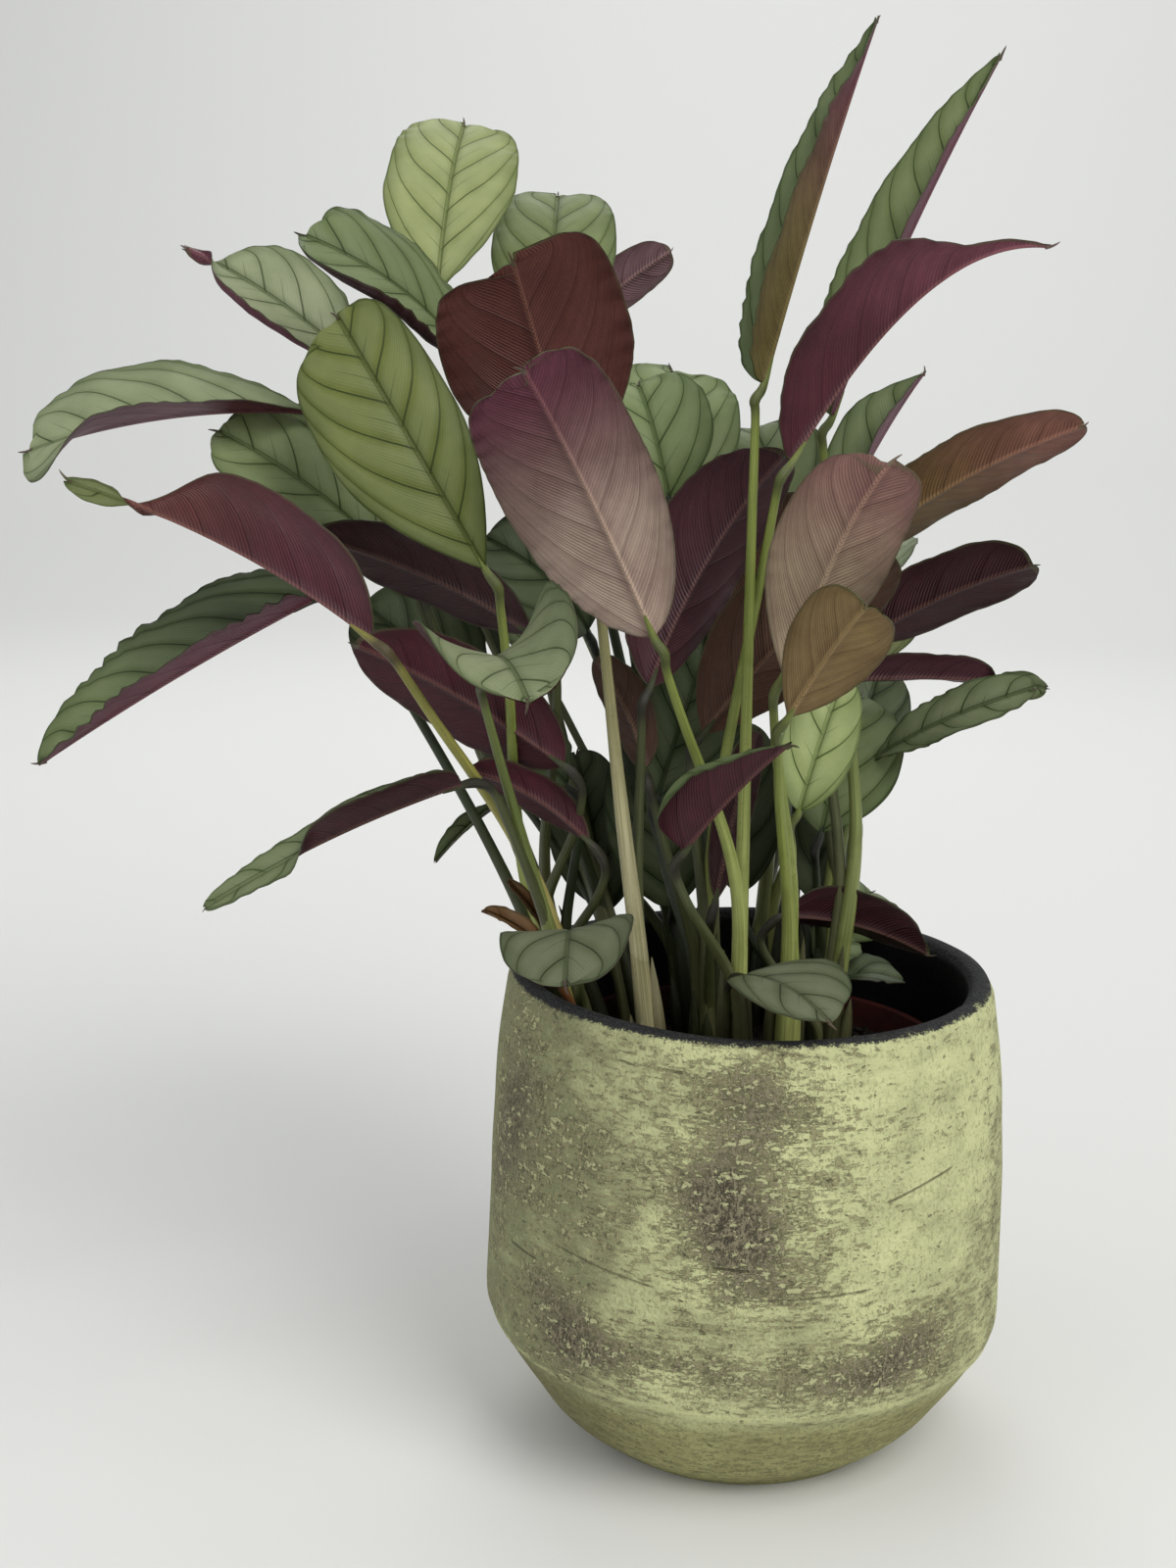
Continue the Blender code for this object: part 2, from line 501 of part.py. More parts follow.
def bore(obj, places, radius, bottom, top, sides=8):
    """Cut round upright holes at the given places, between two heights."""
    cutter_shell = bmesh.new()
    for x, y in places:
        move = Matrix.Translation((x * MM, y * MM, (bottom + top) / 2.0 * MM))
        bmesh.ops.create_cone(cutter_shell, cap_ends=True, segments=sides, radius1=radius * MM,
                              radius2=radius * MM, depth=(top - bottom) * MM, matrix=move)
    mesh = bpy.data.meshes.new("bores")
    cutter_shell.to_mesh(mesh)
    cutter_shell.free()
    cutter = bpy.data.objects.new("bores", mesh)
    bpy.context.scene.collection.objects.link(cutter)
    cut = obj.modifiers.new("bores", "BOOLEAN")
    cut.operation = "DIFFERENCE"
    cut.object = cutter
    apply_modifier(obj, cut)
    bpy.data.objects.remove(cutter)


def make_pot(materials):
    """The clay pot: a bowl that turns upright at a shoulder, with a thick rounded lip."""
    turned("pot", POT_OUTSIDE + POT_LIP + POT_INSIDE, POT_SEGMENTS, materials["clay"])


def nursery_radius(height):
    """Outer radius of the nursery pot's tapered wall."""
    return NURSERY_FOOT + (NURSERY_RIM - NURSERY_FOOT) * (height - FLOOR) / (NURSERY_TOP - FLOOR)


def make_nursery_pot(materials):
    """The nursery pot: a thin tapered wall, a band at its rim, and drain holes in its base."""
    foot = FLOOR + FIT_GAP
    band = NURSERY_TOP - NURSERY_BAND
    outside = ((nursery_radius(foot), foot), (nursery_radius(band), band),
               (nursery_radius(band) + 1.6, band + 0.8), (NURSERY_RIM + 1.8, NURSERY_TOP))
    inside = ((NURSERY_RIM - NURSERY_WALL, NURSERY_TOP),
              (nursery_radius(foot + NURSERY_WALL) - NURSERY_WALL, foot + NURSERY_WALL))
    pot = turned("grow_pot", outside + inside, NURSERY_SEGMENTS, materials["terracotta"])
    angles = [2 * pi * k / DRAIN_COUNT for k in range(DRAIN_COUNT)]
    places = [(DRAIN_CIRCLE * cos(angle), DRAIN_CIRCLE * sin(angle)) for angle in angles]
    bore(pot, places, DRAIN_RADIUS, foot - 2.0, foot + NURSERY_WALL + 2.0)


def make_soil(materials):
    """The soil: it fills the nursery pot, with an uneven top and a hole for each stem."""
    bottom = FLOOR + FIT_GAP + NURSERY_WALL + FIT_GAP
    inset = NURSERY_WALL + FIT_GAP + 0.15
    foot, rim = nursery_radius(bottom) - inset, nursery_radius(SOIL_TOP) - inset
    profile = ((foot, bottom), (rim - 0.3, SOIL_TOP - 1.5), (rim - 5.0, SOIL_TOP), (40.0, SOIL_TOP),
               (16.0, SOIL_TOP))
    soil = turned("soil", profile, NURSERY_SEGMENTS, materials["soil"])
    for vertex in soil.data.vertices:
        x, y, z = vertex.co / MM
        if z > SOIL_TOP - 0.5:
            bump = sin(x * 0.21 + 1.0) * cos(y * 0.26) + 0.6 * sin(x * 0.11 - y * 0.17)
            vertex.co.z = (SOIL_TOP + SOIL_BUMP * bump) * MM
    places = [shoot[0] for shoot in SHOOTS.values()]
    bore(soil, places, HOLE_RADIUS, SOIL_TOP - STEM_DEPTH - FIT_GAP, SOIL_TOP + 10.0)


def make_shoot(name, number, materials):
    """One shoot: its stem, petioles and blades, joined into one body."""
    foot, lean, leaves = SHOOTS[name]
    top = max(spec["rise"] for spec in leaves)
    slots = [materials["leaf_face"], materials["leaf_back"], materials["stem"]]
    shoot = mesh_object(name, *stem_shell(foot, lean, top), slots)
    parts = bpy.data.collections.new(name + "_parts")
    bpy.context.scene.collection.children.link(parts)
    for index, spec in enumerate(leaves):
        piece = mesh_object(name + "_leaf", *leaf_shell(spec, foot, lean, number * 10 + index), slots)
        bpy.context.scene.collection.objects.unlink(piece)
        parts.objects.link(piece)
    join = shoot.modifiers.new("join", "BOOLEAN")
    join.operation = "UNION"
    join.operand_type = "COLLECTION"
    join.collection = parts
    join.solver = "MANIFOLD"
    apply_modifier(shoot, join)
    for piece in list(parts.objects):
        bpy.data.objects.remove(piece)
    bpy.data.collections.remove(parts)
    shoot.data.shade_smooth()
    shoot.data.set_sharp_from_angle(angle=radians(38))


def main():
    clear_scene()
    materials = make_materials()
    make_pot(materials)
    make_nursery_pot(materials)
    make_soil(materials)
    for number, name in enumerate(SHOOTS, start=1):
        make_shoot(name, number, materials)


main()
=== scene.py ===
"""Looks of the potted ctenanthe: fine leaves, stems, clay pot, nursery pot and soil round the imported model.

The tables and shapes are in millimetres, with X right, Y back, Z up and the origin under the clay pot's
centre. Meshes are turned into metres where they are made.
"""
from functools import partial, partialmethod
from itertools import combinations
from math import atan2, cos, hypot, pi, radians, sin
from types import SimpleNamespace

import bpy
import numpy as np
from mathutils import Matrix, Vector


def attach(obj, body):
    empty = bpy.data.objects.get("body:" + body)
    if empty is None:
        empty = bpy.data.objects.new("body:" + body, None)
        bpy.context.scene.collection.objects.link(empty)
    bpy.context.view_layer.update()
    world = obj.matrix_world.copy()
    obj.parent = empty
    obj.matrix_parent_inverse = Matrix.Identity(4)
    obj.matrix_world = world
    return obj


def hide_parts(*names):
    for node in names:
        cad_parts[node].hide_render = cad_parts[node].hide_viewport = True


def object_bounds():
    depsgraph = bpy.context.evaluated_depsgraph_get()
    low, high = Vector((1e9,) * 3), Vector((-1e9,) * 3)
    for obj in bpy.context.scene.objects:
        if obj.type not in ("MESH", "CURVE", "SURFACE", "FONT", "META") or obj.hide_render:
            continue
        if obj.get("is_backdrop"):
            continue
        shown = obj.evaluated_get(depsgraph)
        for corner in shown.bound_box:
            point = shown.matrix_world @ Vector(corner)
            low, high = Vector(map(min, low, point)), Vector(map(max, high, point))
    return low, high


MM = 0.001
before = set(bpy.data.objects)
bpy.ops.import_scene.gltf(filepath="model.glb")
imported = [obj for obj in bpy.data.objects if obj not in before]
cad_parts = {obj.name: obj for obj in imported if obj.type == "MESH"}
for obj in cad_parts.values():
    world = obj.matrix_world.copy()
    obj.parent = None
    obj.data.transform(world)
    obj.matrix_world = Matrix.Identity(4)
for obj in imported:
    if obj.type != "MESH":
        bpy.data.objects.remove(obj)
cad_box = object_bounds()
SOIL_TOP = 134.0
STEM_DEPTH = 18.0
STEM_RADIUS = 3.8
JOINT_LENGTH = 13.0
SHEATHS = 3
SHEATH_RADIUS = 2.9
PATH_STEPS = 5

# Blade grid, thickness, waves of the margin, quilting and veins
ROWS = 64
COLUMNS = 31
SECTION_STEPS = 40
BLADE_THICK = 0.42
TIP_WIDTH = 0.9
RIB_DEPTH = 0.8
GROOVE_DEPTH = 0.5
QUILT_HEIGHT = 0.3
WAVE_LENGTH = 31.0
FRILL_LENGTH = 7.3
VEIN_GAP = 17.0
VEIN_LEAN = 1.0
VEIN_CURVE = 0.9
STREAKS = 12.0

# The form attribute holds lengths and counts divided by these, so that they stay small
FORM_REACH = 40.0
FORM_COUNT = 10.0

# Display colours, 0 to 255: upper faces, under faces, and stalks low down, high up and at the joint
UPPER = {
    "silver": (146, 155, 118), "pale": (158, 166, 130), "sage": (108, 114, 86), "green": (115, 129, 83),
    "meadow": (130, 143, 92), "fresh": (146, 161, 110), "deep": (72, 84, 52), "yellow": (165, 173, 115),
    "young": (180, 192, 130), "olive": (112, 120, 58), "dry": (140, 98, 66),
}
# The under tone smoke is a greyer, paler wine: partly the leaves' own tone, partly a painted sheen.
UNDER = {
    "wine": (80, 31, 43), "claret": (70, 21, 35), "dark": (58, 20, 28), "smoke": (76, 38, 48),
    "plum": (104, 52, 70), "orchid": (122, 66, 83), "lilac": (112, 82, 88), "mauve": (168, 149, 135),
    "rust": (99, 54, 48), "beige": (175, 158, 132), "dusk": (145, 109, 101), "bronze": (112, 88, 48),
    "rose": (140, 94, 80), "umber": (92, 64, 50), "brown": (110, 82, 60), "moss": (108, 98, 56),
    "olive": (144, 122, 80), "dry": (122, 78, 50),
}
# The stalk tone shade is green darkened as painted shade, for the stalks low inside the clump.
STALK = {
    "green": ((142, 150, 88), (108, 121, 62), (70, 74, 40)),
    "lime": ((176, 182, 110), (138, 150, 72), (92, 100, 48)),
    "cream": ((196, 188, 150), (160, 154, 108), (100, 92, 58)),
    "olive": ((110, 110, 74), (76, 82, 46), (44, 42, 28)),
    "shade": ((70, 76, 44), (44, 56, 28), (28, 30, 18)),
    "gold": ((188, 172, 112), (160, 156, 78), (88, 76, 46)),
    "dry": ((150, 104, 68), (128, 84, 50), (96, 58, 36)),
}


def leaf(look, rise, base, tip, width, bow, face, fold=(12, 12), curl=(0, 0), twist=0, belly=1.0, point=0.42,
         slant=0, roll=(0, 0), neck=(2.0, 0.0, 0.0), open_tip=1.0, halves=(1.0, 1.0), tail=None, heel=0.8,
         wave=0.7, frill=0.4):
    """One leaf. look: tones of the upper face, the under face and the stalk; base>tip where a face changes.

    rise: where its petiole leaves the stem, above the soil. base and tip: the blade's two ends. bow: how far
    the midrib bulges towards the upper face. face: heading and height of the upper face's normal, in degrees.
    fold and curl: how the left and right halves rise from the midrib. twist: turn of the blade from base to
    tip. belly: below 1 the blade is widest near its base, above 1 near its tip. point: small for a blunt tip,
    near 1 for a long one. slant: how far one half ends before the other. roll: turn of the outer margins.
    neck: place along the blade where it slims and twists, how much it slims beyond and how much it is pinched
    there. open_tip: share of the fold left at the tip. halves: width of the left and right halves. tail: the
    way the tip points. heel: small for a broad base. wave and frill: height of the margin's slow and fine
    waves.
    """
    look = look.split()
    return SimpleNamespace(**locals())


# Leaves toned deep wine shade are dark leaves deep inside the clump; their dark upper faces and stalks are
# painted shade.
# Each shoot: foot on the soil (x, y), lean per 100 mm of height (x, y), stem tone and leaves
SHOOTS = {
    "shoot_01": ((-4, -40), (0, -6), "olive", (
        leaf("silver mauve>plum lime", 60, (-34, -66, 297), (-71, -106, 378), 54, 9, (103, 30), (14, 8),
             curl=(-14, 0), belly=1.15, point=0.15, slant=5, halves=(0.8, 1.0), heel=0.5, frill=0.9),
        leaf("green moss>plum lime", 50, (-3, -26, 375), (30, 10, 492), 28, 1, (-158, 10), (62, 52), twist=20,
             belly=0.62, point=0.8, open_tip=0.4, wave=0.4),
        leaf("green claret olive", 30, (-22, -72, 230), (9, -100, 270), 38, 2, (112, 28), (60, 26),
             curl=(20, 16), belly=0.6, point=1.2, roll=(0, -220), frill=0.2),
        leaf("sage brown olive", 6, (-2, -54, 184), (25, -83, 179), 40, 4, (-62, 72), (8, 8), point=0.45,
             frill=0.1))),
    "shoot_02": ((-32, -36), (-14, -4), "cream", (
        leaf("green rust cream", 90, (-60, -36, 341), (-80, -62, 410), 62, 8, (110, 30), curl=(-16, -10),
             belly=1.3, point=0.15, slant=6, frill=0.8),
        leaf("green smoke olive", 40, (-37, -30, 275), (5, -20, 352), 44, 10, (112, 12), (22, 22),
             curl=(10, 10), point=0.5))),
    "shoot_03": ((-52, -28), (-30, -20), "olive", (
        leaf("sage wine olive", 8, (-57, -76, 201), (-55, -120, 199), 42, 8, (-90, 62), (10, -6),
             curl=(14, 10), belly=1.1, point=0.28, frill=0.2),
        leaf("silver wine green", 50, (-87, -72, 282), (-65, -138, 287), 58, 10, (-82, 60), (14, 12),
             curl=(70, 36), belly=1.2, point=0.26, frill=0.2),
        leaf("yellow wine>rust gold", 60, (-120, -84, 296), (-212, -90, 342), 44, 9, (116, 32), (14, 58),
             curl=(10, 0), twist=165, belly=0.85, point=0.5, neck=(0.8, 0.4, 0.8), open_tip=0.2, frill=0.2),
        leaf("silver dark olive", 30, (-94, -70, 248), (-168, -105, 214), 17, 5, (-90, 42), (122, 22),
             belly=0.65, point=0.36, neck=(0.62, 0.2, 0.0), open_tip=0.1, heel=0.45, wave=0.6),
        leaf("dry dry dry", 2, (-71, -50, 191), (-88, -60, 204), 9, 2, (-60, 40), (45, 45), twist=20,
             belly=0.8, wave=0.2))),
    "shoot_04": ((-58, -8), (-42, -10), "olive", (
        leaf("deep claret olive", 25, (-55, -40, 224), (-94, -52, 249), 16, 6, (92, 24), (34, 20)),
        leaf("deep>green plum shade", 25, (-147, -46, 303), (-230, -72, 251), 54, 2, (-95, 52), (62, 10),
             curl=(0, -10), belly=0.6, point=0.6, open_tip=0.8, halves=(0.62, 1.0), frill=1.0),
        leaf("silver claret olive", 40, (-64, -42, 250), (-129, -64, 291), 34, 6, (100, 18), (18, 18),
             belly=0.85, point=0.55),
        leaf("olive wine lime", 40, (-87, -66, 316), (-137, -50, 393), 52, 7, (-95, 28), (10, 12),
             curl=(-20, -30), belly=1.25, point=0.2, slant=-5, halves=(1.0, 0.72), frill=0.3),
        leaf("dry dry dry", 5, (-68, -28, 185), (-83, -36, 208), 8, 2, (-60, 30), (45, 45), belly=0.8,
             wave=0.2))),
    "shoot_05": ((-56, 12), (-44, -4), "shade", (
        leaf("silver plum olive", 30, (-151, -24, 363), (-241, -44, 349), 48, 6, (-95, 50), (50, 8),
             curl=(0, -10), belly=1.45, point=0.2, slant=3, open_tip=0.0, halves=(1.0, 1.16), frill=0.3),
        leaf("green dark olive", 35, (-74, -48, 294), (-146, -50, 324), 27, 6, (98, 28), (16, 16), point=0.6,
             frill=0.2),
        leaf("fresh wine olive", 45, (-120, -14, 306), (-181, -30, 356), 43, 9, (-90, 42), curl=(10, -24),
             belly=1.1, point=0.3, frill=0.3),
        leaf("deep wine shade", 15, (-103, 14, 256), (-140, 10, 294), 46, 7, (-90, 45), belly=1.1),
        leaf("deep wine shade", 25, (-67, 3, 234), (-97, -2, 254), 30, 5, (-90, 50)))),
    "shoot_06": ((-42, 32), (-34, 12), "shade", (
        leaf("silver wine shade", 25, (-95, 28, 221), (-114, 4, 204), 9, 2, (-90, 60), (50, 50)),
        leaf("green dark olive", 50, (-101, 14, 373), (-152, -30, 419), 50, 9, (-82, 46), (14, 14),
             curl=(0, -34), belly=1.15, point=0.24, slant=4, roll=(130, 0), frill=0.5),
        leaf("pale plum olive", 35, (-154, 40, 382), (-212, 44, 418), 42, 5, (-92, 46), (22, 10),
             curl=(0, -12), twist=170, belly=0.75, point=1.0, roll=(120, 0), neck=(0.85, 0.2, 0.55),
             frill=0.5),
        leaf("green dark shade", 20, (-102, 5, 303), (-129, -5, 330), 28, 5, (90, 20), (16, 16)),
        leaf("green wine shade", 25, (-136, 40, 334), (-176, 50, 359), 44, 8, (-90, 40), belly=1.1),
        leaf("deep wine shade", 10, (-54, 42, 178), (-68, 50, 236), 34, 5, (-90, 32), (10, 10)))),
    "shoot_07": ((-22, 38), (-20, 16), "shade", (
        leaf("yellow wine green", 60, (-117, 22, 403), (-117, 84, 466), 48, 7, (-90, 45), curl=(-22, -26),
             belly=1.2, point=0.15, slant=8, frill=0.3),
        leaf("meadow wine shade", 40, (-79, 46, 390), (-83, 96, 442), 46, 7, (-90, 45), (8, 8),
             curl=(-16, -16), point=0.2, slant=3, frill=0.3),
        leaf("green lilac shade", 70, (-66, 75, 400), (-40, 96, 422), 20, 4, (90, 20), (14, 14), point=0.3),
        leaf("deep wine shade", 20, (-61, 8, 288), (-95, -8, 321), 44, 8, (-90, 42), belly=1.1),
        leaf("fresh wine shade", 30, (-34, 12, 335), (-47, 34, 373), 42, 7, (-90, 42), point=0.3),
        leaf("deep wine shade", 10, (-30, 34, 182), (-42, 40, 246), 40, 5, (-90, 35), (10, 10)))),
    "shoot_08": ((-12, 18), (-6, 12), "shade", (
        leaf("fresh wine shade", 30, (-32, 34, 329), (-37, 74, 378), 48, 7, (-90, 45), (10, 10),
             curl=(-14, -14), point=0.2, slant=9),)),
    "shoot_09": ((12, -24), (2, -8), "olive", (
        leaf("silver beige>dusk lime", 60, (7, -62, 285), (36, -84, 353), 40, 8, (80, 22), (10, 10),
             curl=(-10, -10), belly=1.15, point=0.2, slant=4, halves=(0.86, 1.0), tail=(14, -8, 20)),
        leaf("green olive lime", 45, (9, -68, 273), (30, -100, 312), 32, 5, (80, 25), (14, 30), belly=1.1,
             point=0.5, frill=0.2),
        leaf("young wine lime", 30, (14, -36, 236), (27, -24, 279), 25, 5, (-90, 35), (8, 8), belly=0.95,
             point=0.5, frill=0.2))),
    "shoot_10": ((28, -6), (10, -2), "olive", (
        leaf("green dark olive", 50, (28, -8, 286), (86, -32, 319), 28, 6, (95, 22), (18, 14), belly=1.1,
             point=0.32, frill=0.2),
        leaf("green bronze>rose green", 70, (31, -2, 320), (101, -16, 363), 30, 6, (102, 34), (14, 14),
             belly=0.8, point=0.4, frill=0.2),
        leaf("green dark olive", 8, (12, -6, 192), (61, -14, 182), 27, 5, (95, 30), (30, 14), belly=0.8,
             point=0.6, frill=0.1))),
    "shoot_11": ((24, 16), (8, 8), "shade", (
        leaf("meadow plum lime", 80, (21, 18, 364), (73, 33, 484), 37, 3, (-128, 22), (22, 60), belly=0.68,
             point=0.8, open_tip=0.75, halves=(1.0, 0.7), wave=0.5),
        leaf("green plum olive", 70, (27, 40, 330), (55, 62, 379), 32, 2, (-132, 20), (30, 52), belly=0.8,
             point=1.1, frill=0.2),
        leaf("silver smoke olive", 50, (28, 18, 272), (97, 0, 274), 17, 4, (95, 25), (48, 30), twist=150,
             belly=0.8, point=0.36, neck=(0.78, 0.0, 0.5), open_tip=0.1, frill=0.2),
        leaf("silver wine green", 40, (40, 16, 244), (90, -20, 277), 18, 4, (-92, 40), (26, 14), belly=1.3,
             point=0.3, frill=0.5),
        leaf("green wine shade", 30, (23, 8, 219), (35, 36, 263), 44, 6, (-90, 35), (8, 8)),
        leaf("deep wine shade", 15, (21, 24, 190), (29, 46, 222), 27, 6, (-90, 35), (8, 8)),
        leaf("deep wine shade", 40, (32, 44, 229), (44, 62, 269), 34, 6, (-90, 35), (8, 8)),
        leaf("green wine shade", 5, (21, 22, 165), (38, 30, 173), 24, 3, (-90, 66), (10, 10)),
        leaf("deep wine shade", 3, (30, 16, 162), (55, 20, 162), 24, 3, (-90, 84), (10, 10)))),
    "shoot_12": ((12, 40), (8, 14), "shade", (
        leaf("green wine shade", 10, (29, 40, 171), (45, 62, 184), 38, 6, (-90, 40), (8, 8)),
        leaf("green wine shade", 40, (7, 52, 320), (-6, 80, 357), 44, 7, (-90, 42), (10, 10), point=0.3),
        leaf("deep wine shade", 14, (-5, 44, 186), (-6, 55, 248), 31, 6, (-90, 32)))),
    "shoot_13": ((-14, -10), (-4, 0), "shade", (
        leaf("green wine>orchid lime", 45, (7, -31, 350), (86, -22, 419), 46, 13, (128, 18), (60, 12),
             belly=0.8, point=0.8, neck=(0.8, 0.72, 0.0), tail=(34, 2, -3), wave=0.8, frill=0.7),
        leaf("green dark olive", 15, (-13, -20, 200), (-1, -22, 260), 14, 4, (95, 15), (14, 14)),
        leaf("green umber olive", 40, (-19, -13, 257), (37, -48, 324), 44, 8, (95, 20)),
        leaf("green umber olive", 30, (-13, 8, 270), (14, 0, 337), 32, 7, (95, 20)),
        leaf("green umber olive", 25, (-38, -16, 244), (-57, 2, 279), 20, 4, (90, 35)),
        leaf("deep wine shade", 20, (-35, 8, 230), (-12, 22, 302), 46, 7, (-90, 30), (10, 10)))),
    "shoot_14": ((-23, 50), (-16, 22), "shade", (
        leaf("green wine green", 60, (-51, 95, 285), (-78, 165, 338), 50, 10, (-70, 50), belly=1.1, point=0.3,
             wave=0.9),
        leaf("silver wine green", 50, (-13, 98, 300), (-2, 168, 352), 48, 10, (-95, 50), belly=1.1, point=0.3,
             slant=4),
        leaf("green plum olive", 20, (-82, 74, 262), (-132, 112, 300), 48, 10, (-40, 50), belly=1.1,
             wave=0.9),
        leaf("silver wine green", 40, (-31, 84, 218), (-36, 156, 246), 46, 12, (-90, 60), belly=1.1,
             point=0.34),
        leaf("green wine olive", 12, (-80, 62, 222), (-118, 96, 238), 36, 10, (-40, 60), belly=1.1))),
    "shoot_15": ((2, 51), (6, 24), "shade", (
        leaf("green wine green", 60, (16, 84, 262), (52, 140, 312), 46, 9, (-125, 50), belly=1.1, point=0.32),
        leaf("yellow wine lime", 30, (42, 76, 262), (80, 104, 300), 42, 9, (-150, 45), belly=1.1, wave=0.9),
        leaf("silver wine olive", 30, (12, 84, 205), (34, 138, 226), 42, 10, (-110, 60), belly=1.1))),
}


def rgb(red, green, blue):
    """A display colour of 0 to 255 as the linear colour that shaders use."""
    shares = np.array([red, green, blue]) / 255.0
    return tuple(np.where(shares <= 0.04045, shares / 12.92, ((shares + 0.055) / 1.055) ** 2.4))


def face_tones(table, look, shares):
    """Colours along a blade: one tone, or two as base>tip."""
    ends = [np.array(rgb(*table[name])) for name in look.split(">")]
    return ends[0] + (ends[-1] - ends[0]) * np.asarray(shares)[..., None]


def stalk_tones(name):
    """A stalk's colours low down, high up and at its joint."""
    return [np.array(rgb(*tone)) for tone in STALK[name]]


def plug(tree, value, socket):
    """Link a wire to a socket, or set the socket's own value."""
    if isinstance(value, Wire):
        tree.links.new(value.socket, socket)
    elif isinstance(value, tuple) and socket.type == "RGBA":
        socket.default_value = (*value[:3], 1.0)
    else:
        socket.default_value = value


def add_node(tree, kind, inputs, **settings):
    """A new node with its settings made and its inputs filled, each by its place or its name."""
    node = tree.nodes.new(kind)
    for label, value in settings.items():
        setattr(node, label, value)
    for place, value in inputs.items():
        plug(tree, value, node.inputs[place])
    return node


class Wire:
    """One output in a node tree. Arithmetic on wires adds Math nodes."""

    def __init__(self, tree, socket):
        self.tree, self.socket = tree, socket

    def calc(self, operation, *others):
        node = add_node(self.tree, "ShaderNodeMath", dict(enumerate((self, *others))), operation=operation)
        return Wire(self.tree, node.outputs[0])

    __add__ = partialmethod(calc, "ADD")
    __sub__ = partialmethod(calc, "SUBTRACT")
    __mul__ = partialmethod(calc, "MULTIPLY")
    __truediv__ = partialmethod(calc, "DIVIDE")
    size = partialmethod(calc, "ABSOLUTE")
    sine = partialmethod(calc, "SINE")

    def __rsub__(self, other):
        return self * -1.0 + other

    def step(self, low, high):
        """0 below low, 1 above high and smooth between; high below low turns it round."""
        ends = (low, high, 0.0, 1.0) if low < high else (high, low, 1.0, 0.0)
        inputs = dict(enumerate((self, *ends)))
        node = add_node(self.tree, "ShaderNodeMapRange", inputs, interpolation_type="SMOOTHSTEP")
        return Wire(self.tree, node.outputs["Result"])


class Graph:
    """A material's node tree with short names for the nodes used here."""

    def __init__(self, name):
        self.material = bpy.data.materials.new(name)
        self.material.use_nodes = True
        self.tree = self.material.node_tree

    def wire(self, kind, inputs, output=0, **settings):
        """One output of a new node."""
        return Wire(self.tree, add_node(self.tree, kind, inputs, **settings).outputs[output])

    def place(self):
        """Object coordinates in millimetres."""
        metres = self.wire("ShaderNodeTexCoord", {}, "Object")
        return self.wire("ShaderNodeVectorMath", {0: metres, 1: (1.0 / MM,) * 3}, operation="MULTIPLY")

    def split(self, vector):
        node = add_node(self.tree, "ShaderNodeSeparateXYZ", {0: vector})
        return [Wire(self.tree, socket) for socket in node.outputs]

    def join(self, x, y, z):
        return self.wire("ShaderNodeCombineXYZ", {0: x, 1: y, 2: z})

    def uv(self):
        return self.split(self.wire("ShaderNodeUVMap", {}, uv_map="UVMap"))[:2]

    def attribute(self, name):
        """An attribute's colour and alpha."""
        node = add_node(self.tree, "ShaderNodeAttribute", {}, attribute_name=name)
        return [Wire(self.tree, node.outputs[label]) for label in ("Color", "Alpha")]

    def noise(self, vector, size, detail=2.0, rough=0.5, warp=0.0):
        """Noise from 0 to 1 whose lumps are about the given size in the vector's unit."""
        inputs = {"Vector": vector, "Scale": 1.0 / size, "Detail": detail, "Roughness": rough}
        return self.wire("ShaderNodeTexNoise", {**inputs, "Distortion": warp})

    def mix(self, share, first, second, blend="MIX"):
        inputs = {0: share, 6: first, 7: second}
        return self.wire("ShaderNodeMix", inputs, 2, data_type="RGBA", blend_type=blend)

    def times(self, first, second):
        """Two colours multiplied."""
        return self.mix(1.0, first, second, "MULTIPLY")

    def layers(self, body, *layers):
        """A colour with others laid over it in turn, each by its share."""
        for share, tone in layers:
            body = self.mix(share, body, tone)
        return body

    def bump(self, height, distance):
        return self.wire("ShaderNodeBump", {"Height": height, "Distance": distance})

    def finish(self, colour, roughness, specular, normal=None, glow=None, glow_share=0.0):
        """Set the surface, with an optional share of light let through."""
        shader = self.tree.nodes["Principled BSDF"]
        plug(self.tree, colour, shader.inputs["Base Color"])
        plug(self.tree, roughness, shader.inputs["Roughness"])
        shader.inputs["Specular IOR Level"].default_value = specular
        if normal is not None:
            plug(self.tree, normal, shader.inputs["Normal"])
        if glow is not None:
            face = Wire(self.tree, shader.outputs[0])
            through = self.wire("ShaderNodeBsdfTranslucent", {"Color": glow})
            both = self.wire("ShaderNodeMixShader", {0: glow_share, 1: face, 2: through})
            plug(self.tree, both, self.tree.nodes["Material Output"].inputs["Surface"])
        return self.material


def off_vein(count):
    """Distance from the nearest side vein: 0 on a vein, 0.5 half way to the next."""
    return (count.calc("FRACT") - 0.5).size()


def vein_field(graph, place):
    """Millimetres off the midrib and the margin, the share across, the vein count and how far off a vein."""
    form, _ = graph.attribute("form")
    reach, edge, count = graph.split(form)
    across, _ = graph.uv()
    wobble = (graph.noise(place, 24.0) - 0.5) * 0.12
    count = count * FORM_COUNT + across.calc("GREATER_THAN", 0.5) * 0.5 + wobble
    reach, edge = reach * FORM_REACH, edge * FORM_REACH
    return reach, edge, reach / (reach + edge + 0.01), count, off_vein(count)


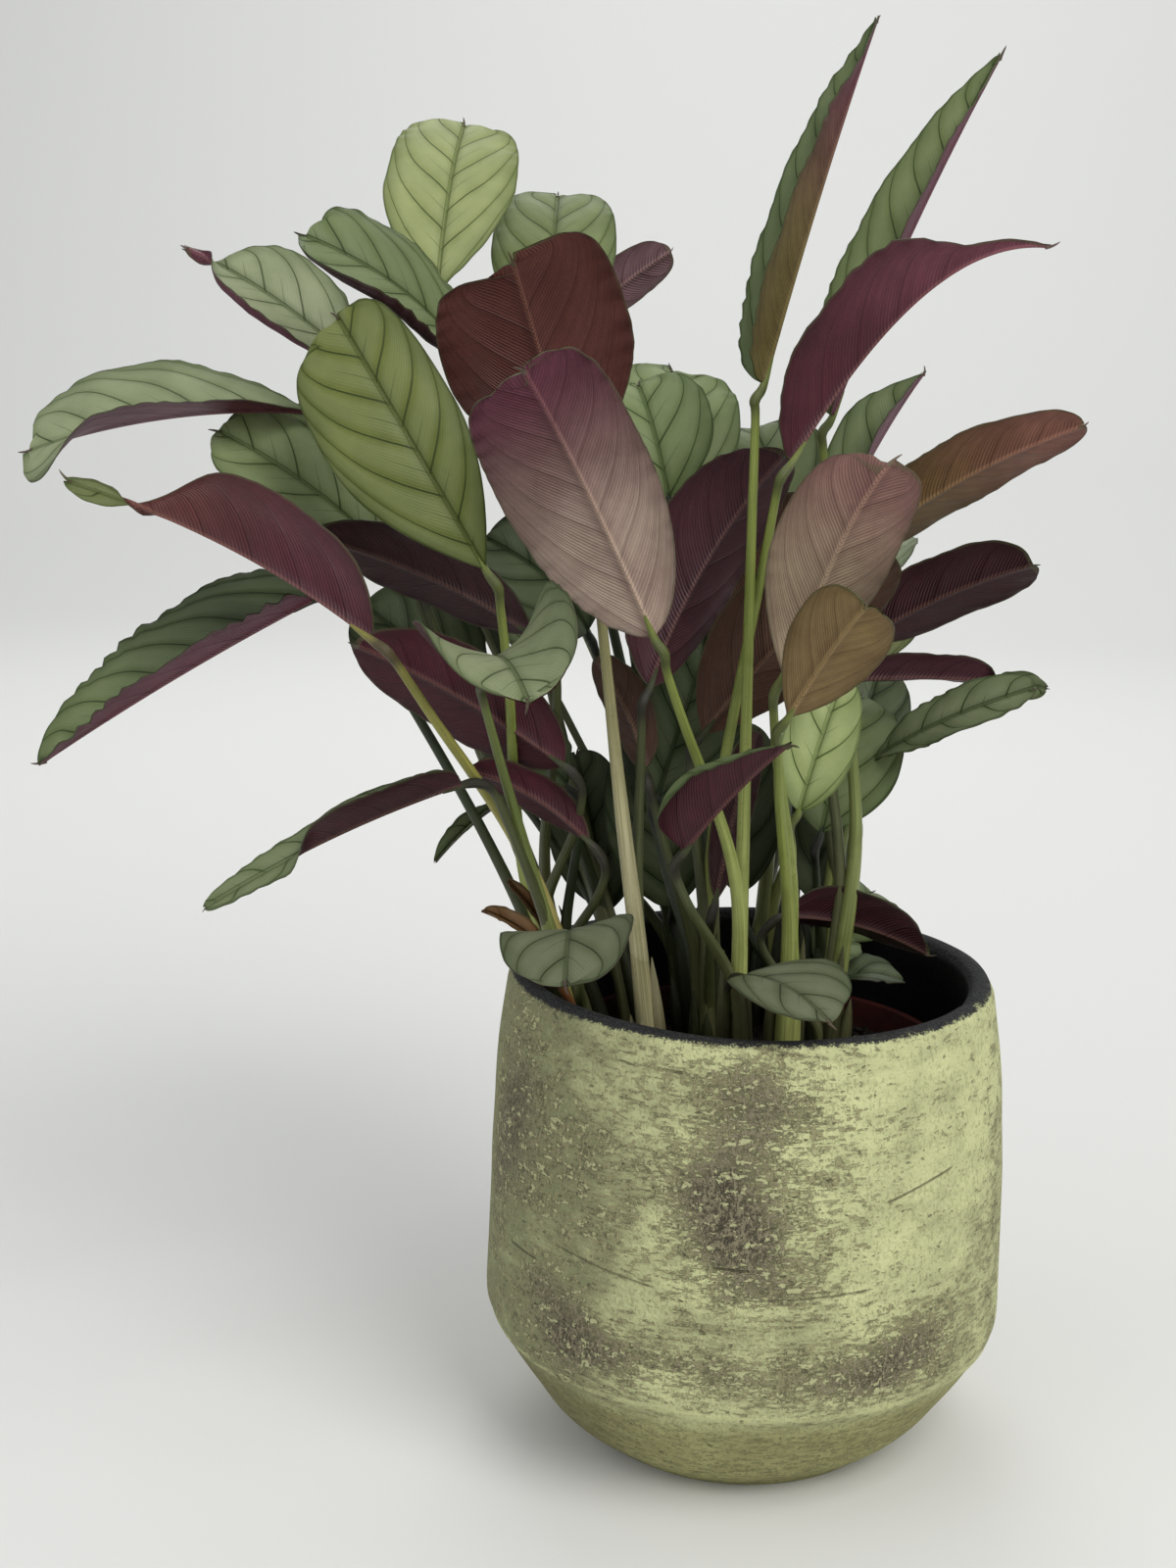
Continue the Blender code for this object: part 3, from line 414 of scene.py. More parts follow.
def blade_upper():
    """The upper face: a satin tone with thin dark side veins, midrib and margin."""
    graph = Graph("blade_upper")
    place = graph.place()
    tint, contrast = graph.attribute("tint")
    reach, edge, share, count, off = vein_field(graph, place)
    line = off.step(0.03, 0.013) * (1.0 - share * 0.25)
    short = off_vein(count + 0.5).step(0.022, 0.006) * share.step(0.5, 0.15) * 0.45
    feather = off.step(0.12, 0.02) * 0.1
    rib = reach.step(0.95, 0.5)
    rib_edge = reach.step(3.2, 0.8) * 0.22
    margin = edge.step(1.0, 0.35)
    # shade: painted shade, the upper face darkening over its last 8 mm towards the margin.
    shade = edge.step(8.0, 0.5)
    streak = (count * (2 * pi * STREAKS)).sine()
    cloud = graph.noise(place, 16.0, 4.0, 0.6)
    veins = (line * 0.95 + short + feather + rib_edge).calc("MINIMUM", 1.0) * contrast
    dark = graph.times(tint, rgb(150, 166, 132))
    deep = graph.times(tint, rgb(132, 148, 118))
    # light: a painted highlight on the bulges half way between the side veins.
    light = graph.mix(0.18, tint, rgb(214, 224, 190))
    body = graph.layers(
        tint, (cloud.step(0.3, 0.7), graph.mix(0.4, tint, dark)), (off.step(0.05, 0.3) * 0.35, light),
        (streak * 0.06 + 0.06, dark), (shade * 0.45, dark), (veins, deep),
        (rib * 0.75, graph.mix(0.25, dark, tint)), (margin * 0.7, deep))
    height = streak * 0.07 - line * 0.9 - short * 0.5 - rib + cloud * 1.1 + off.step(0.0, 0.35) * 0.7
    roughness = graph.noise(place, 7.0) * 0.14 + 0.42
    glow = graph.times(body, rgb(236, 255, 140))
    return graph.finish(body, roughness, 0.3, graph.bump(height, 0.0003), glow, 0.14)


def blade_under():
    """The under face: wine tones with fine close lines along the side veins and a slim paler rib."""
    graph = Graph("blade_under")
    place = graph.place()
    tint, _ = graph.attribute("tint")
    reach, edge, share, count, off = vein_field(graph, place)
    line = off.step(0.045, 0.012) * (1.0 - share * 0.4)
    fine = (count * (2 * pi * STREAKS)).sine()
    broad = (count * (2 * pi * STREAKS / 4.0)).sine()
    rib = reach.step(1.0, 0.5)
    rib_edge = reach.step(4.0, 1.0) * 0.3
    margin = edge.step(0.9, 0.3)
    cloud = graph.noise(place, 18.0, 4.0, 0.6)
    # bright: the lighter half of the fine lines, their own paler ridges with a painted satin sheen on them.
    bright = graph.times(tint, (1.5, 1.42, 1.36))
    pale = graph.mix(0.14, bright, rgb(190, 165, 130))
    dark = graph.times(tint, rgb(178, 160, 164))
    body = graph.layers(
        tint, (cloud.step(0.3, 0.72) * 0.8, dark), ((fine * 0.5 + 0.5) * 0.46, bright),
        ((broad * 0.5 + 0.5) * 0.22, dark), (rib_edge, dark), (line * 0.4, dark), (rib * 0.5, pale),
        (margin * 0.5, rgb(92, 92, 60)))
    height = fine * 0.34 + line * 0.9 + cloud * 1.2 - off.step(0.0, 0.35) * 0.6
    roughness = graph.noise(place, 6.0) * 0.16 + 0.4
    glow = graph.times(body, rgb(255, 214, 190))
    return graph.finish(body, roughness, 0.36, graph.bump(height, 0.0003), glow, 0.08)


def stalk_material():
    """Stems and petioles: the tone runs along the stalk, with lengthwise streaks and small dark flecks."""
    graph = Graph("stalk")
    place = graph.place()
    tint, _ = graph.attribute("tint")
    around, along = graph.uv()
    lines = graph.noise(graph.join(around * 26.0, along * 0.25, 0.0), 1.0, 3.0)
    patches = graph.noise(place, 12.0)
    flecks = graph.noise(place, 0.9, 1.0).step(0.68, 0.76)
    dark = graph.times(tint, rgb(164, 168, 136))
    body = graph.layers(
        tint, (lines.step(0.35, 0.7) * 0.7, dark), (patches.step(0.45, 0.8) * 0.45, dark),
        (flecks * 0.35, rgb(90, 66, 40)))
    return graph.finish(body, patches * 0.15 + 0.34, 0.45, graph.bump(lines, 0.0003))


def unit(vector):
    """The vector at length one."""
    vector = np.asarray(vector, float)
    return vector / np.linalg.norm(vector)


def rising(value, low, high):
    """0 below low, 1 above high and smooth between."""
    share = np.clip((value - low) / (high - low), 0.0, 1.0)
    return share * share * (3.0 - 2.0 * share)


def bell(value, spread):
    """1 where the value is 0, falling smoothly to either side."""
    return np.exp(-(value / spread) ** 2)


def curve(t, start, first, last, end):
    """Places on a smooth curve from start to end, led by its two middle points."""
    s = 1.0 - t
    return s ** 3 * start + 3 * s * s * t * first + 3 * s * t * t * last + t ** 3 * end


def stem_point(foot, lean, height):
    """The point of a stem's centre line at a height: upright at the soil, then leaning outward."""
    up = max(height, 0.0) / 100.0
    out = up * up / (up + 0.12)
    return np.array([foot[0] + lean[0] * out, foot[1] + lean[1] * out, SOIL_TOP + height])


def half_widths(spec, along):
    """Half width of a blade: rounded at the base as its heel says, then as its point and neck say."""
    place = along ** spec.belly
    full = np.maximum(0.0, 1.0 - np.abs(1.0 - 2.0 * place) ** 2.2)
    widths = 0.5 * spec.width * np.where(place < 0.5, full ** spec.heel, full ** spec.point)
    neck, slim, pinch = spec.neck
    widths = widths * (1.0 - slim * rising(along, neck - 0.2, neck))
    return np.maximum(widths * (1.0 - pinch * bell(along - neck, 0.1)), TIP_WIDTH)


def midrib(spec, along):
    """Points, directions and upper normals along the bowed and twisted midrib."""
    fine = np.unique(np.concatenate([np.linspace(0.0, 1.0, 41), along]))
    base, tip = np.array(spec.base, float), np.array(spec.tip, float)
    chord = unit(tip - base)
    heading, height = radians(spec.face[0]), radians(spec.face[1])
    toward = np.array([cos(height) * cos(heading), cos(height) * sin(heading), sin(height)])
    upper = unit(toward - chord * (toward @ chord))
    middle = (base + tip) / 2.0 + upper * spec.bow * 2.0
    first = base + (middle - base) * 2.0 / 3.0
    last = tip + (middle - tip) * 2.0 / 3.0 if spec.tail is None else tip - np.array(spec.tail, float)
    t = fine[:, None]
    s = 1.0 - t
    points = curve(t, base, first, last, tip)
    ways = s * s * (first - base) + 2 * s * t * (last - first) + t * t * (tip - last)
    ways /= np.linalg.norm(ways, axis=1)[:, None]
    normals = np.zeros_like(ways)
    half = int(np.argmin(np.abs(fine - 0.5)))
    normals[half] = unit(upper - ways[half] * (upper @ ways[half]))
    for order in (range(half + 1, len(fine)), range(half - 1, -1, -1)):
        near = half
        for i in order:
            normals[i] = unit(normals[near] - ways[i] * (normals[near] @ ways[i]))
            near = i
    neck = spec.neck[0]
    share = rising(fine, neck - 0.07, neck + 0.07) if neck < 1.0 else fine - 0.5
    turn = (radians(spec.twist) * share)[:, None]
    normals = np.cos(turn) * normals + np.sin(turn) * np.cross(ways, normals)
    pick = np.searchsorted(fine, along)
    return points[pick], ways[pick], normals[pick]


def half_section(spec, along, widths, right):
    """How far sideways and upward one half reaches, at even steps from the midrib to the margin."""
    places = (np.arange(SECTION_STEPS) + 0.5) / SECTION_STEPS
    neck = spec.neck[0]
    low, high = (0.7, 1.0) if neck > 1.0 else (neck - 0.08, neck + 0.1)
    open_share = 1.0 - (1.0 - spec.open_tip) * rising(along, low, high)
    narrow = widths / (spec.width / 2.0)
    angles = radians(spec.fold[right]) * open_share[:, None]
    angles = angles + radians(spec.curl[right]) * narrow[:, None] * places
    turned_margin = radians(spec.roll[right]) * np.sin(pi * along) ** 0.5
    angles = angles + turned_margin[:, None] * rising(places, 0.72, 1.0)
    step = widths[:, None] * spec.halves[right] / SECTION_STEPS
    start = np.zeros((len(along), 1))
    sideways = np.hstack([start, np.cumsum(np.cos(angles) * step, axis=1)])
    upward = np.hstack([start, np.cumsum(np.sin(angles) * step, axis=1)])
    return sideways, upward


def pick_place(table, place):
    """The table's column at a place from 0 to 1, between its own columns where needed."""
    spot = min(max(place, 0.0), 1.0) * SECTION_STEPS
    low = min(int(spot), SECTION_STEPS - 1)
    return table[:, low] * (low + 1 - spot) + table[:, low + 1] * (spot - low)


def blade_length(spec):
    return np.linalg.norm(np.subtract(spec.tip, spec.base))


def vein_count(along, length, reach, share):
    """Count along the side veins: they leave the midrib at half a right angle and bend towards the tip."""
    ahead = VEIN_LEAN * reach + VEIN_CURVE * reach * share ** 4
    return (along * length - ahead) / VEIN_GAP


def margin_waves(spec, along, place, seed):
    """Height of the slow and fine waves of a margin, growing from the midrib outward."""
    phase = seed * 1.7 + (1.9 if place >= 0.0 else 0.0)
    round_length = 2 * pi * along * blade_length(spec)
    swell = np.sin(pi * along) ** 0.5 * place ** 2
    slow = swell * spec.wave * np.sin(round_length / WAVE_LENGTH + phase)
    fine = np.sin(round_length / FRILL_LENGTH + phase * 2.3 + 1.6 * np.sin(along * 13.0 + seed))
    uneven = 0.75 + 0.5 * np.sin(along * 9.0 + phase)
    fade = np.minimum(1.0, 6.0 * (1.0 - along) + 0.3)
    return slow + spec.frill * uneven * fine * abs(place) ** 7 * fade


def blade_surface(spec, along, across, seed):
    """Middle surface of a blade as a grid of points, with the normal at each point."""
    points, ways, normals = midrib(spec, along)
    sides = np.cross(ways, normals)
    widths = half_widths(spec, along)
    grid = np.zeros((len(along), len(across), 3))
    out = np.zeros_like(grid)
    gap = across[1] - across[0]
    for j, place in enumerate(across):
        right = place >= 0.0
        sign = 1.0 if right else -1.0
        far = abs(place)
        sideways, upward = half_section(spec, along, widths, right)
        run = pick_place(sideways, far + gap) - pick_place(sideways, far - gap)
        climb = pick_place(upward, far + gap) - pick_place(upward, far - gap)
        end = np.arctan2(climb, run) * (far > 0.01)
        reach = far * widths * spec.halves[right]
        count = vein_count(along, blade_length(spec), reach, far) + (0.5 if right else 0.0)
        quilt = QUILT_HEIGHT * np.abs(np.sin(pi * (count + 0.5))) ** 0.8
        quilt = quilt * np.minimum(1.0, widths / 12.0) * np.minimum(1.0, far * 6.0)
        groove = -GROOVE_DEPTH * bell(reach, 1.1)
        lag = place * spec.slant
        lag = (lag if lag > 0.0 else 0.3 * lag) * rising(along, 0.55, 1.0)
        uneven_tip = (0.7 + 0.02 * spec.width) * np.sin(place * 7.0 + seed * 2.1)
        bite = uneven_tip * rising(along, 0.8, 1.0) * far
        lift = pick_place(upward, far) + margin_waves(spec, along, place, seed) + quilt + groove
        grid[:, j] = points + sides * (sign * pick_place(sideways, far))[:, None]
        grid[:, j] += normals * lift[:, None] - ways * (lag + bite)[:, None]
        out[:, j] = normals * np.cos(end)[:, None] - sides * (sign * np.sin(end))[:, None]
    return grid, out


def smooth_path(points, steps):
    """More points on a smooth curve through the given ones."""
    points = np.asarray(points, float)
    padded = np.vstack([2 * points[0] - points[1], points, 2 * points[-1] - points[-2]])
    path = []
    for i in range(1, len(padded) - 2):
        before, start, end, after = padded[i - 1:i + 3]
        bend = 2 * before - 5 * start + 4 * end - after
        turn = 3 * start - before - 3 * end + after
        for t in np.arange(steps) / steps:
            path.append(0.5 * (2 * start + (end - before) * t + bend * t * t + turn * t ** 3))
    path.append(points[-1])
    return np.array(path)


class Shell:
    """Collects corners, faces, UVs, tints and, for blades, places on the leaf of one piece."""

    def __init__(self):
        self.corners, self.faces, self.numbers, self.uvs, self.tints, self.forms = [], [], [], [], [], []
        self.count = 0

    def add(self, corners, faces, number, uvs, tints, forms=None):
        self.corners.append(np.asarray(corners, float).reshape(-1, 3))
        self.faces += [tuple(k + self.count for k in face) for face in faces]
        self.numbers += [number] * len(faces) if isinstance(number, int) else number
        self.uvs.append(np.asarray(uvs, float))
        self.tints.append(np.asarray(tints, float))
        added = len(self.corners[-1])
        self.forms.append(np.zeros((added, 4)) if forms is None else forms)
        self.count += added

    def build(self, name, materials, sharp=55.0):
        mesh = bpy.data.meshes.new(name)
        mesh.from_pydata([tuple(corner) for corner in np.concatenate(self.corners) * MM], [], self.faces)
        for material in materials:
            mesh.materials.append(material)
        mesh.polygons.foreach_set("material_index", self.numbers)
        corner_of_loop = np.zeros(len(mesh.loops), dtype=np.int32)
        mesh.loops.foreach_get("vertex_index", corner_of_loop)
        layer = mesh.uv_layers.new(name="UVMap")
        layer.data.foreach_set("uv", np.concatenate(self.uvs)[corner_of_loop].ravel())
        for label, values in (("tint", self.tints), ("form", self.forms)):
            colours = mesh.color_attributes.new(name=label, type="FLOAT_COLOR", domain="POINT")
            colours.data.foreach_set("color", np.concatenate(values).ravel())
        mesh.shade_smooth()
        mesh.set_sharp_from_angle(angle=radians(sharp))
        obj = bpy.data.objects.new(name, mesh)
        bpy.context.scene.collection.objects.link(obj)
        return obj


def ring_faces(rings, segments):
    """Faces that join rings of corners, and a cap at either end."""
    last = (rings - 1) * segments
    faces = []
    for start in range(0, last, segments):
        for k in range(segments):
            a, b = start + k, start + (k + 1) % segments
            faces.append((a, b, b + segments, a + segments))
    return faces + [tuple(range(segments - 1, -1, -1)), tuple(range(last, last + segments))]


# A shoot's materials: upper face, under face and stalk
UPPER_FACE, UNDER_FACE, STALK_FACE = range(3)


def tube(shell, path, radii, tints, sides=12):
    """A closed tube along a path."""
    ways = np.gradient(path, axis=0)
    ways /= np.linalg.norm(ways, axis=1)[:, None]
    across = unit(np.cross(ways[0], (0.0, 1.0, 0.0) if abs(ways[0][1]) < 0.9 else (1.0, 0.0, 0.0)))
    lengths = np.concatenate([[0.0], np.cumsum(np.linalg.norm(np.diff(path, axis=0), axis=1))])
    corners, uvs, colours = [], [], []
    for centre, way, radius, tint, far in zip(path, ways, radii, tints, lengths):
        across = unit(across - way * (across @ way))
        other = np.cross(way, across)
        for k in range(sides):
            angle = 2 * pi * k / sides
            corners.append(centre + radius * (cos(angle) * across + sin(angle) * other))
            uvs.append((abs(2.0 * k / sides - 1.0), far / 10.0))
            colours.append((*tint, 1.0))
    shell.add(corners, ring_faces(len(path), sides), STALK_FACE, uvs, colours)


def petiole_points(spec, stem, top, index):
    """Points of a petiole's centre line from the soil, up the stem, out through the joint to the blade."""
    base = np.array(spec.base, float)
    points, ways, normals = midrib(spec, np.array([0.0, 0.07]))
    start = stem(spec.rise)
    stem_way = unit(start - stem(spec.rise - 10.0))
    way = unit(base - start)
    elbow = base - unit(ways[0] * 0.55 + way * 0.45) * JOINT_LENGTH
    third = np.linalg.norm(elbow - start) / 3.0
    turn = atan2(way[1], way[0]) + (index % 3 - 1) * 0.9
    aside = np.array([cos(turn), sin(turn), 0.0]) * (0.0 if spec.rise >= top else 3.0)
    path = [stem(spec.rise * share) + aside for share in (-0.05, 0.5, 1.0)]
    for t in (0.2, 0.4, 0.6, 0.8, 1.0):
        path.append(curve(t, start, start + stem_way * third, elbow - way * third, elbow) + aside * (1.0 - t))
    bend = unit(way - ways[0]) if np.linalg.norm(way - ways[0]) > 0.05 else np.zeros(3)
    path.append((elbow + base) / 2.0 + bend * 0.16 * JOINT_LENGTH - normals[0] * 0.3)
    path += [base - ways[0] * 1.5 - normals[0] * 0.7, points[1] - normals[1] * 1.0]
    return path


def add_petiole(shell, spec, stem, top, index):
    """A petiole: a clasping sheath low down, a round stalk, a thicker darker joint."""
    low, high, joint = stalk_tones(spec.look[2])
    path = smooth_path(petiole_points(spec, stem, top, index), PATH_STEPS)
    places = np.arange(len(path)) / PATH_STEPS
    radii = np.interp(places, (0, 1, 2, 4, 7, 7.5, 8, 8.7, 9.3, 10),
                      (3.1, 3.1, 2.6, 1.95, 1.4, 1.5, 1.75, 1.65, 1.15, 0.5))
    share = np.interp(places, (0, 2, 5, 10), (0, 0.2, 1, 1))[:, None]
    bend = np.interp(places, (6.9, 7.3, 8.8, 9.4), (0, 1, 1, 0.3))[:, None]
    tube(shell, path, radii, (low * (1 - share) + high * share) * (1 - bend) + joint * bend)


def add_sheaths(shell, stem, number, tone):
    """Short pointed leaf sheaths that clasp the stem low down, palest where they end."""
    low, _, foot_tone = stalk_tones(tone)
    for k in range(SHEATHS):
        angle = -pi / 2 + (k - 1) * 1.5 + 0.5 * sin(number * 2.1 + k)
        height = 34.0 + 22.0 * sin(number * 1.7 + k * 2.6)
        far = 3.6 + 1.2 * sin(number + k * 1.9)
        levels = np.linspace(-4.0, height, 8)
        share = np.clip(levels / height, 0.0, 1.0)
        path = np.array([stem(level) for level in levels])
        path[:, 0] += cos(angle) * (far + 1.2 * share)
        path[:, 1] += sin(angle) * (far + 1.2 * share)
        tints = foot_tone * (1 - share[:, None]) + low * share[:, None] * 0.8
        tube(shell, path, SHEATH_RADIUS * (1.0 - share ** 3) + 0.15, tints)


def add_point(shell, spec, grid, seed):
    """The thin hooked point at a blade's tip."""
    middle = COLUMNS // 2
    tip = grid[-1, middle]
    way = unit(tip - grid[-4, middle])
    side = unit(np.cross(way, (0.3, 1.0, 0.5)))
    size = min(1.0, spec.width / 36.0)
    bent = side * cos(seed * 1.3) + np.cross(way, side) * sin(seed * 2.7)
    places = (0.0, 1.2, 2.4, 3.6, 4.6)
    path = np.array([tip + (way * (far - 1.0) + bent * 0.09 * far * far) * size for far in places])
    upper, under = (face_tones(table, look, np.ones(5)) for table, look in zip((UPPER, UNDER), spec.look))
    tube(shell, path, np.array([0.85, 0.6, 0.42, 0.3, 0.1]) * size, under * 0.5 + upper * 0.25, 6)


def blade_faces():
    """Faces of the two grids of corners and the rim between them, with each face's material."""
    grid = np.arange(ROWS * COLUMNS).reshape(ROWS, COLUMNS)
    under = grid.size
    upper = np.stack([grid[:-1, :-1], grid[:-1, 1:], grid[1:, 1:], grid[1:, :-1]], axis=-1).reshape(-1, 4)
    both = np.stack([upper, upper[:, [0, 3, 2, 1]] + under], axis=1).reshape(-1, 4)
    edge = np.concatenate([grid[0], grid[1:, -1], grid[-1, -2::-1], grid[-2:0:-1, 0]])
    after = np.roll(edge, -1)
    rim = np.stack([edge, edge + under, after + under, after], axis=1)
    numbers = [UPPER_FACE, UNDER_FACE] * len(upper) + [UPPER_FACE] * len(rim)
    return np.concatenate([both, rim]).tolist(), numbers


def add_blade(shell, spec, seed):
    """A blade: two fine faces joined at the rim, with a thin hooked point at the tip."""
    s = np.linspace(0.0, 1.0, ROWS)
    along = 0.2 * s + 0.8 * (0.5 - 0.5 * np.cos(pi * s))
    along[0], along[-1] = 0.0, 1.0
    across = np.linspace(-1.0, 1.0, COLUMNS)
    grid, out = blade_surface(spec, along, across, seed)
    widths = half_widths(spec, along)[:, None]
    halves = np.where(across < 0.0, *spec.halves)
    reach = np.abs(across * halves) * widths
    rib = RIB_DEPTH * (1.0 - 0.8 * along)[:, None] * bell(reach, 1.0)
    upper = grid + out * BLADE_THICK / 2.0
    lower = grid - out * BLADE_THICK / 2.0 - out * rib[:, :, None]
    corners = np.concatenate([upper.reshape(-1, 3), lower.reshape(-1, 3)])
    uv = np.stack(np.meshgrid((across + 1) / 2, along), axis=-1).reshape(-1, 2)
    count = vein_count(along[:, None], blade_length(spec), reach, np.abs(across))
    ahead = np.repeat(along[:, None], COLUMNS, axis=1)
    parts = [reach / FORM_REACH, (halves * widths - reach) / FORM_REACH, count / FORM_COUNT, ahead]
    form = np.stack(parts, axis=-1).reshape(-1, 4)
    dry = spec.look[0] == "dry"
    fade = rising(ahead, 0.25, 0.95)
    tints = []
    for table, look, contrast in ((UPPER, spec.look[0], 0.35 if dry else 1.0), (UNDER, spec.look[1], 1.0)):
        alpha = np.full((ROWS, COLUMNS, 1), contrast)
        tints.append(np.concatenate([face_tones(table, look, fade), alpha], axis=-1).reshape(-1, 4))
    shell.add(corners, *blade_faces(), np.concatenate([uv, uv]), np.concatenate(tints),
              np.concatenate([form, form]))
    if not dry:
        add_point(shell, spec, grid, seed)


def make_shoot(name, number, materials):
    """One shoot as a fine piece that stands for its CAD node."""
    foot, lean, tone, leaves = SHOOTS[name]
    stem = partial(stem_point, foot, lean)
    top = max(spec.rise for spec in leaves)
    shell = Shell()
    low, high, _ = stalk_tones(tone)
    levels = np.linspace(-STEM_DEPTH * 0.6, top + 2.0, 14)
    share = np.clip(levels / top, 0, 1)
    path = np.array([stem(level) for level in levels])
    radii = STEM_RADIUS * np.interp(share, (0, 0.15, 0.5, 1), (1.0, 1.1, 0.85, 0.4))
    tube(shell, path, radii, low * (1 - share[:, None]) + high * share[:, None])
    add_sheaths(shell, stem, number, tone)
    for index, spec in enumerate(leaves):
        add_petiole(shell, spec, stem, top, index)
        add_blade(shell, spec, number * 10 + index)
    piece = shell.build("leafy_" + name, materials)
    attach(piece, "root")
    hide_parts(name)


def turned(shell, profile, segments, wobble=None, shares=None, tone=(1.0, 1.0, 1.0)):
    """A closed solid turned about the Z axis. wobble: shift of a point. shares: alpha of the rows' tone."""
    shares = shares or [1.0] * len(profile)
    corners, uvs, tints = [], [], []
    for row, (radius, height) in enumerate(profile):
        for k in range(segments):
            angle = 2 * pi * k / segments
            r, z = wobble(radius, height, angle, shares[row]) if wobble else (radius, height)
            corners.append((r * cos(angle), r * sin(angle), z))
            uvs.append((k / segments, row / len(profile)))
            tints.append((*tone, shares[row]))
    shell.add(corners, ring_faces(len(profile), segments), 0, uvs, tints)


def rounded(profile, steps):
    """A profile of (radius, height) points made smooth."""
    flat = smooth_path([(r, z, 0.0) for r, z in profile], steps)
    return [(r, z) for r, z, _ in flat]


# Profiles of the clay pot's wall (radius, height) and the steps that each is rounded in
POT_OUTSIDE = ((53.5, 0.0), (55.5, 1.2), (68.7, 12.0), (77.7, 24.0), (85.8, 36.0), (91.4, 46.0), (92.8, 52.0),
               (92.4, 70.0), (91.9, 90.0), (91.3, 110.0), (90.2, 130.0), (88.6, 147.0), (86.8, 159.0),
               (85.6, 167.0))
POT_LIP = ((84.0, 170.0), (81.4, 171.0), (78.4, 170.4), (76.6, 168.0))
POT_INSIDE = ((77.8, 158.0), (81.4, 130.0), (83.4, 90.0), (83.4, 60.0), (81.0, 45.0), (64.0, 17.0),
              (57.0, 10.0))
COAT_ROWS = 8
LIP_ROWS = 5
INSIDE_ROWS = 3
NICK_ANGLE = radians(-22.0)
RIDGE_HEIGHT = 44.0

# Slow waves of the clay pot's wall: turns round it, change with height, start and size
SLOW = ((2, 0.011, 0.4, 0.35), (3, -0.02, 1.9, 0.3), (5, 0.045, 2.7, 0.18), (7, -0.06, 0.9, 0.14),
        (11, 0.12, 4.1, 0.08), (17, -0.2, 5.2, 0.06))


def pot_wobble(radius, height, angle, outer):
    """Uneven hand-finished wall: slow dents, a raised line under the shoulder and a nick in the lip."""
    shift = 0.0
    for turns, rise, phase, size in SLOW:
        shift += size * sin(turns * angle + rise * height + phase)
    over = height - 0.8 * sin(3 * angle + 1.0)
    ridge = 0.7 * bell(over - RIDGE_HEIGHT, 1.6)
    groove = -0.5 * bell(over - RIDGE_HEIGHT + 4.0, 1.4)
    foot_line = -0.45 * bell(height - 5.0, 0.8)
    edge = min(1.0, height / 4.0)
    gap = (angle - NICK_ANGLE + pi) % (2 * pi) - pi
    nick = 1.1 * bell(gap, 0.035) if height > 165.0 else 0.0
    lift = 0.5 * sin(2 * angle + 0.6) + 0.25 * sin(5 * angle) if height > 160.0 else 0.0
    return (radius + outer * (shift + ridge + groove + foot_line) * edge - 0.2,
            height + lift * (height - 160.0) / 11.0 - nick * (height - 165.0) / 6.0)


# Worn places: angle round the pot, height, half size round and up in mm, and how strongly worn, below 0
# where the coat is kept
WORN = ((-96, 121, 15, 17, 0.5), (-90, 104, 13, 12, 0.46), (-86, 149, 17, 13, 0.32), (-82, 122, 34, 38, 0.22),
        (-86, 88, 24, 7, 0.24), (-52, 66, 22, 13, 0.48), (-64, 56, 22, 9, 0.38), (-151, 134, 15, 30, 0.42),
        (-160, 96, 12, 30, 0.32), (-136, 76, 18, 10, 0.26), (-125, 60, 24, 13, 0.48), (-96, 61, 28, 9, 0.26),
        (-130, 122, 26, 36, 0.2), (-96, 160, 26, 8, 0.2), (-20, 100, 12, 50, 0.14), (30, 100, 34, 26, 0.45),
        (80, 130, 30, 20, 0.4), (110, 70, 34, 22, 0.45), (150, 110, 26, 30, 0.35),
        (-46, 118, 28, 38, -0.2), (-112, 83, 18, 11, -0.14), (-82, 76, 20, 7, -0.14),
        (-50, 160, 36, 8, -0.16), (-150, 86, 12, 9, -0.2))
# Long scratches: angle round the pot, height, half length, slope and depth
SCRATCHES = ((-92, 97, 8, -0.05, 1.0), (-74, 87.5, 20, 0.04, 0.5), (-144, 83, 10, 0.0, 0.8),
             (-117, 160, 4, -0.1, 0.8), (-106, 160, 5, 0.0, 0.6), (60, 90, 20, 0.1, 0.6),
             (130, 120, 16, -0.2, 0.8))


def worn_share(z, angle, broad):
    """How worn the coat is: a slow change all over and the worn places."""
    worn = (broad - 0.5) * 0.4 + 0.12
    for around, height, wide, tall, weight in WORN:
        turn = angle - radians(around)
        gap = turn.sine() * 88.0
        front = turn.calc("COSINE").step(0.0, 0.3)
        far = (gap / wide) * (gap / wide) + ((z - height) / tall) * ((z - height) / tall)
        worn = worn + (far * -1.0).calc("EXPONENT") * front * weight
    return worn


def scratch_share(z, angle, middle):
    """The long scratches, the deepest where they cross."""
    cut = None
    for around, height, long, slope, strength in SCRATCHES:
        run = (angle - radians(around)).sine() * 91.0
        off = (z - height - run * slope + (middle - 0.5) * 1.6).size()
        mark = off.step(0.5, 0.15) * run.size().step(long, long - 3.0) * strength
        cut = mark if cut is None else cut.calc("MAXIMUM", mark)
    return cut


